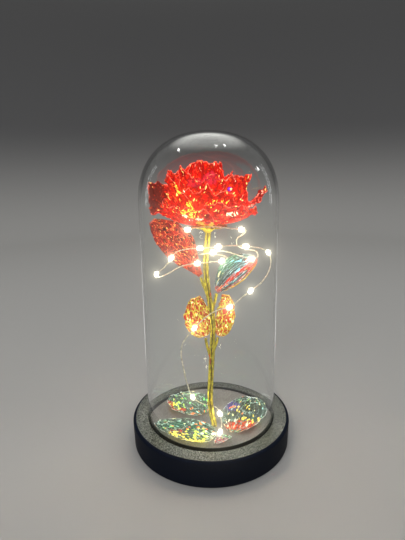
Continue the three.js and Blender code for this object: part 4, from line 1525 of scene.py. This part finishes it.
@dataclass(frozen=True)
class LightString:
    """The wire, of two twisted strands, its beads and the small lamps of their lights.

    Attributes:
        spacing: Distance between the stations along the wire.
        strand_radius, strand_sides, twist_pitch: Each strand's radius and sides, and the length of one turn.
        bead_radius, bead_half_length, bead_bluntness: The drop's shape; a bluntness of 1 is an ellipsoid.
        bead_rows, bead_sides: Its grid.
        lamp_radius, lamp_watts, lamp_colour: The lamp in each bead.
        bloom_watts, bloom_glows: The lamps of the lights that the bloom hides, and their places.
        route: The places that the wire passes through. One with a 1 carries a bead.
    """

    spacing: float = 0.6
    strand_radius: float = 0.24
    strand_sides: int = 8
    twist_pitch: float = 5.0
    bead_radius: float = 1.25
    bead_half_length: float = 1.9
    bead_bluntness: float = 0.85
    bead_rows: int = 18
    bead_sides: int = 24
    lamp_radius: float = 0.7
    lamp_watts: float = 0.024
    bloom_watts: float = 0.010
    bloom_glows: tuple[Triple, ...] = (
        (-8, -16, 172), (9, -15, 171), (-16, 4, 178), (15, 6, 178), (0, -5, 184), (0, 16, 180))
    lamp_colour: Colour = (1.0, 0.86, 0.60)
    route: tuple[tuple[float, float, float, int], ...] = (
        (5.2, -27.5, 19.2, 0), (5.8, -26, 20.8, 1), (7, -22.4, 23.2, 0), (6.9, -19.4, 26.4, 0),
        (6, -16.5, 29.2, 1), (4.2, -11.9, 31, 0), (-0.5, -8.7, 31.4, 0), (-4.8, -10.8, 33.4, 0),
        (-12, -15, 41, 1), (-15.5, -17, 52, 0), (-17.5, -18, 63.5, 0), (-19, -18, 74, 0), (-17.8, -17, 81, 0),
        (-14, -16, 86.5, 0), (-10, -15.5, 91, 1), (-4.5, -15, 96.5, 0), (1.5, -14.5, 101, 0),
        (7.5, -14, 103.4, 0), (13, -12.8, 104.2, 1), (17, -11.5, 106.6, 0), (21.5, -10.5, 110.2, 0),
        (27, -9, 114, 1), (35, -6.2, 119.5, 0), (39.6, -4.4, 126, 0), (41, -4, 132.5, 0),
        (38.6, -6, 138.8, 1), (31, -10, 142.8, 0), (23.5, -12, 144, 1), (14.5, -13, 144.8, 0),
        (6, -13, 144.2, 1),
        (0, -12.6, 143.6, 0), (-5.5, -12.2, 143.2, 1), (-14, -13, 142.9, 0), (-20.5, -13.3, 141.2, 0),
        (-24, -13.8, 137.4, 1), (-28, -14.2, 132, 0), (-33.6, -13, 127, 1), (-34.8, -10.6, 124.4, 0),
        (-31, -11.4, 124.8, 0), (-25.5, -12, 127.5, 0), (-20.5, -12.6, 130.5, 0), (-15, -12.8, 132.6, 0),
        (-7.5, -12.5, 133.6, 1), (0, -11.7, 134, 0), (8.2, -10, 134.4, 1), (12, -5, 135.2, 0),
        (8.5, 1, 136, 0),
        (-0.5, 2.2, 136.4, 0), (-6.2, -1.6, 137.2, 0), (-4.6, -7.6, 138.4, 0), (2.5, -9.4, 139.8, 1),
        (8.5, -9.6, 140.8, 0), (14.5, -9.5, 139.4, 0), (21.5, -9.1, 136.9, 0), (27.4, -8.8, 135.2, 1),
        (31.6, -7.9, 136.4, 0), (30.6, -7, 139.8, 0), (25, -7.4, 141.2, 0), (18.4, -8, 144, 0),
        (18.2, -8.6, 148.6, 0), (22, -9, 151.4, 0), (23.4, -11.2, 154, 0), (20.4, -12.7, 154.9, 1),
        (15, -13.2, 155.4, 0), (9.5, -13.5, 156.4, 0), (3.5, -13.8, 156.9, 0), (-3, -14.2, 156.9, 0),
        (-8.5, -14.8, 156.4, 0), (-13, -15.2, 155.6, 1), (-16.5, -15, 156.2, 0))

    def path(self) -> Array:
        """Returns stations along the middle of the wire."""
        return smooth_path([p[:3] for p in self.route], self.spacing)

    def wire(self) -> Shape:
        """Returns two strands that wind round the route, one strand radius from it, half a turn apart."""
        path = self.path()
        _, side, up = path_frames(path)
        turn = 2 * np.pi * np.arange(len(path)) * self.spacing / self.twist_pitch
        ring = 2 * np.pi * np.arange(self.strand_sides) / self.strand_sides
        circle = self.strand_radius * np.stack([np.cos(ring), np.sin(ring)], axis=-1)
        outline = np.broadcast_to(circle, (len(path), *circle.shape))
        strands = []
        for start in (0.0, np.pi):
            swing = np.cos(turn + start)[:, None] * side + np.sin(turn + start)[:, None] * up
            strands.append(carried(path + self.strand_radius * swing, outline))
        return Shape.joined(strands)

    def bead(self, place: Array, direction: Array) -> Shape:
        """Returns a drop of resin: a ball stretched along the wire, a little blunter than an ellipsoid."""
        rows, columns = np.meshgrid(np.linspace(0, np.pi, self.bead_rows)[1:-1],
                                    2 * np.pi * np.arange(self.bead_sides) / self.bead_sides, indexing="ij")
        side = unit(np.cross(direction, (0.31, 0.93, 0.17)))
        up = np.cross(direction, side)
        wide = self.bead_radius * np.sin(rows) ** self.bead_bluntness
        rings = (place + (wide * np.cos(columns))[..., None] * side + (wide * np.sin(columns))[..., None] * up
                 - (self.bead_half_length * np.cos(rows))[..., None] * direction)
        ends = self.bead_half_length * direction
        return capped(rings, place - ends, place + ends)

    def build(self) -> None:
        """Puts in the wire, the beads, and the lamps of the beads and of the lights in the bloom."""
        self.wire().put_in("wire_strands", LacqueredWire().material(), Slot.WIRE, "light_wire")
        path = self.path()
        tangent = unit(np.gradient(path, axis=0))
        finish = LitResin().material()
        beads = [np.array(p[:3]) for p in self.route if p[3]]
        for number, place in enumerate(beads, 1):
            nearest = np.argmin(np.linalg.norm(path - place, axis=1))
            name = f"led_{number:02d}"
            self.bead(place, tangent[nearest]).put_in(f"{name}_drop", finish, Slot.BEAD, name)
            self.lamp(f"{name}_lamp", place, self.lamp_watts)
        for number, place in enumerate(self.bloom_glows, 1):
            self.lamp(f"bloom_glow_{number}", np.array(place), self.bloom_watts)

    def lamp(self, name: str, place: Array, watts: float) -> None:
        """Adds a small warm lamp at a place in millimetres."""
        light = bpy.data.lights.new(name, "POINT")
        light.energy = watts
        light.color = self.lamp_colour
        light.shadow_soft_size = self.lamp_radius * MM
        lamp = bpy.data.objects.new(name, light)
        lamp.location = place * MM
        bpy.context.scene.collection.objects.link(lamp)


# Studio


@dataclass(frozen=True)
class SoftBox:
    """An area lamp: where it stands and looks, its size in metres, its watts, its colour, how far it is
    turned about the way it looks, what it does, and how far its beam spreads. Both angles are in degrees."""

    name: str
    place: Triple
    looks_at: Triple
    wide: float
    high: float
    watts: float
    colour: Colour = (1.0, 1.0, 1.0)
    turn: float = 0.0
    seen: Seen = Seen.FULLY
    spread: float = 180.0

    def build(self) -> None:
        """Adds the lamp."""
        light = bpy.data.lights.new(self.name, "AREA")
        light.shape, light.size, light.size_y = "RECTANGLE", self.wide, self.high
        light.energy, light.color, light.spread = self.watts, self.colour, math.radians(self.spread)
        lamp = bpy.data.objects.new(self.name, light)
        lamp.location = self.place
        aim = (Vector(self.looks_at) - Vector(self.place)).to_track_quat("-Z", "Y").to_matrix()
        lamp.rotation_euler = (aim @ Matrix.Rotation(math.radians(self.turn), 3, "Z")).to_euler()
        lamp.visible_camera = False
        lamp.visible_transmission = self.seen is Seen.FULLY
        lamp.visible_diffuse = self.seen is not Seen.REFLECTED
        lamp.visible_glossy = self.seen is not Seen.LIGHT_ONLY
        bpy.context.scene.collection.objects.link(lamp)


@dataclass(frozen=True)
class Studio:
    """What stands round the object: a pale floor, soft lamps, the surroundings and the camera.

    Attributes:
        floor_colour, wall_colour: Greys at the floor and from the dark height on.
        floor_reach: Distances to where the floor starts to rise and to where it ends, in millimetres.
        wall_top, wall_height: The distance at which the wall stops rising, and its height.
        dark_height: Height from which the wall has its own grey.
        horizon, sky, sky_towards, sky_cosines: Colours of the surroundings, the direction in which they are
            brightest, and the cosines at which that starts and is complete.
        lens, sensor: The camera's focal length and the width of its sensor, in millimetres.
        camera_place, pitch, roll, yaw: Where it stands, in millimetres, and its angles in degrees.
        glare: Settings of the bleed round the brightest points.
        lamps: The soft lamps.
    """

    floor_colour: Colour = (0.38, 0.375, 0.365)
    wall_colour: Colour = (0.12, 0.12, 0.123)
    floor_reach: tuple[float, float] = (900.0, 2600.0)
    wall_top: float = 2200.0
    wall_height: float = 1100.0
    dark_height: float = 350.0
    horizon: Colour = (0.07, 0.07, 0.072)
    sky: Colour = (1.35, 1.35, 1.28)
    sky_towards: Triple = (0.0, 0.5, 0.866)
    sky_cosines: tuple[float, float] = (0.84, 0.97)
    lens: float = 27.65
    sensor: float = 36.0
    camera_place: Triple = (0.2, -272.0, 194.1)
    pitch: float = 14.17
    roll: float = -0.90
    yaw: float = 0.99
    glare: tuple[tuple[str, float], ...] = (
        ("Threshold", 1.4), ("Strength", 2.6), ("Size", 0.6), ("Maximum", 14.0))
    lamps: tuple[SoftBox, ...] = (
        SoftBox("overhead", (0, -0.2, 1.3), (0, 0, 0.05), 0.8, 0.8, 4.5, seen=Seen.LIGHT_ONLY),
        SoftBox("front", (-0.8, -2.4, 1.6), (0, 0, 0.12), 1.7, 1.7, 54.0, seen=Seen.LIGHT_ONLY),
        SoftBox("ring_sheen", (0, 0.9, 0.75), (0, -0.05, -0.07), 0.24, 0.008, 0.01, seen=Seen.REFLECTED,
                spread=16.0),
        SoftBox("spark_left", (-0.58, 0.29, 1.21), (0, 0, 0.17), 0.06, 0.04, 0.5),
        SoftBox("spark_middle", (0.16, 0.19, 1.37), (0, 0, 0.17), 0.05, 0.05, 0.4),
        SoftBox("spark_middle_right", (0.34, 0.27, 1.32), (0, 0, 0.17), 0.03, 0.04, 0.3),
        SoftBox("spark_right", (1.05, 0.22, 0.77), (0, 0, 0.17), 0.05, 0.08, 0.5),
        SoftBox("edge_left", (-0.75, 0.35, 0.35), (0, 0, 0.12), 0.02, 0.5, 0.12),
        SoftBox("edge_right", (0.75, 0.35, 0.35), (0, 0, 0.12), 0.02, 0.5, 0.12),
        SoftBox("card_left", (-0.26, 0.46, 0.004), (-0.26, 0.46, 1.0), 0.03, 0.86, 0.07, turn=-30,
                seen=Seen.REFLECTED),
        SoftBox("card_right", (0.26, 0.46, 0.004), (0.26, 0.46, 1.0), 0.03, 0.86, 0.07, turn=30,
                seen=Seen.REFLECTED))

    def floor(self) -> None:
        """Adds the floor, which isn't part of the object: a disc that sweeps up into a wall all round, with
        the wall's height x a smooth step of the distance. Its grey deepens up the wall."""
        flat, reach = self.floor_reach
        distance = np.concatenate([np.linspace(0, flat, 6)[1:], np.linspace(flat, reach, 40)[1:]])
        rise = self.wall_height * smoothstep(distance, flat, self.wall_top)
        count = 96
        angle = 2 * np.pi * np.arange(count) / count
        rings = np.stack([distance[:, None] * np.cos(angle), distance[:, None] * np.sin(angle),
                          rise[:, None] + 0 * angle], axis=-1)
        number = np.arange(count)
        fan = np.stack([np.full(count, rings.shape[0] * count), number, (number + 1) % count], axis=1)
        points = np.concatenate([rings.reshape(-1, 3), [[0.0, 0.0, 0.0]]])
        quads = grid_faces(len(rings), count, closed=True)[:, ::-1]
        g = Graph.named("pale_floor")
        height = g.add("SeparateXYZ", Vector=g.places()).outputs["Z"]
        colour = g.blend(g.ramp(height, 0.0, self.dark_height), self.floor_colour, self.wall_colour)
        mesh = bpy.data.meshes.new("floor")
        mesh.from_pydata((points * MM).tolist(), [], fan.tolist() + quads.tolist())
        mesh.materials.append(g.finished(g.surface(Base_Color=colour, Roughness=0.75)))
        mesh.polygons.foreach_set("use_smooth", np.ones(len(mesh.polygons), bool))
        floor = bpy.data.objects.new("floor", mesh)
        bpy.context.scene.collection.objects.link(floor)

    def surroundings(self) -> None:
        """Sets soft surroundings that brighten towards a place above and behind: the share of the sky's
        colour is a smooth step of the cosine between a direction and that place's."""
        world = bpy.data.worlds.new("studio")
        bpy.context.scene.world = world
        g = Graph(world)
        direction = g.add("TexCoord").outputs["Generated"]
        cosine = g.result("VectorMath", "DOT_PRODUCT", (direction, self.sky_towards), "Value")
        colour = g.blend(g.ramp(cosine, *self.sky_cosines), self.horizon, self.sky)
        g.add("OutputWorld", Surface=g.add("Background", Color=colour).outputs["Background"])

    def camera(self) -> None:
        """Adds the camera at the photograph's angle: pitched down, rolled a little and turned a little."""
        data = bpy.data.cameras.new("camera")
        data.lens, data.sensor_width, data.sensor_fit = self.lens, self.sensor, "AUTO"
        data.clip_start, data.clip_end = 0.01, 50.0
        camera = bpy.data.objects.new("camera", data)
        turn = (Matrix.Rotation(math.radians(self.yaw), 4, "Z")
                @ Matrix.Rotation(math.radians(90 - self.pitch), 4, "X")
                @ Matrix.Rotation(math.radians(self.roll), 4, "Z"))
        camera.matrix_world = Matrix.Translation(Vector(self.camera_place) * MM) @ turn
        bpy.context.scene.collection.objects.link(camera)
        bpy.context.scene.camera = camera

    def glow(self) -> None:
        """Lets the brightest points bleed a little into the picture, as in a real lens."""
        scene = bpy.context.scene
        scene.use_nodes = True
        tree = scene.node_tree
        tree.nodes.clear()
        layers, glare, out = (tree.nodes.new("CompositorNode" + kind)
                              for kind in ("RLayers", "Glare", "Composite"))
        glare.glare_type = "BLOOM"
        for name, value in self.glare:
            glare.inputs[name].default_value = value
        glare.inputs["Clamp"].default_value = True
        tree.links.new(layers.outputs["Image"], glare.inputs["Image"])
        tree.links.new(glare.outputs["Image"], out.inputs["Image"])

    def build(self) -> None:
        """Adds everything round the object."""
        scene = bpy.context.scene
        scene.view_settings.view_transform = "Standard"
        scene.cycles.max_bounces = 16
        scene.cycles.transmission_bounces = 14
        scene.cycles.transparent_max_bounces = 40
        self.floor()
        self.surroundings()
        for lamp in self.lamps:
            lamp.build()
        self.camera()
        self.glow()


def main() -> None:
    logging.basicConfig(level=logging.INFO, format="%(name)s %(message)s")
    parts = (Plinth(), Cloche(), Stem(), Calyx(), Bloom(), Leaves(), FallenPetals(), LightString(), Studio())
    for part in parts:
        log.info("building %s", type(part).__name__)
        part.build()


if __name__ == "__main__":
    main()
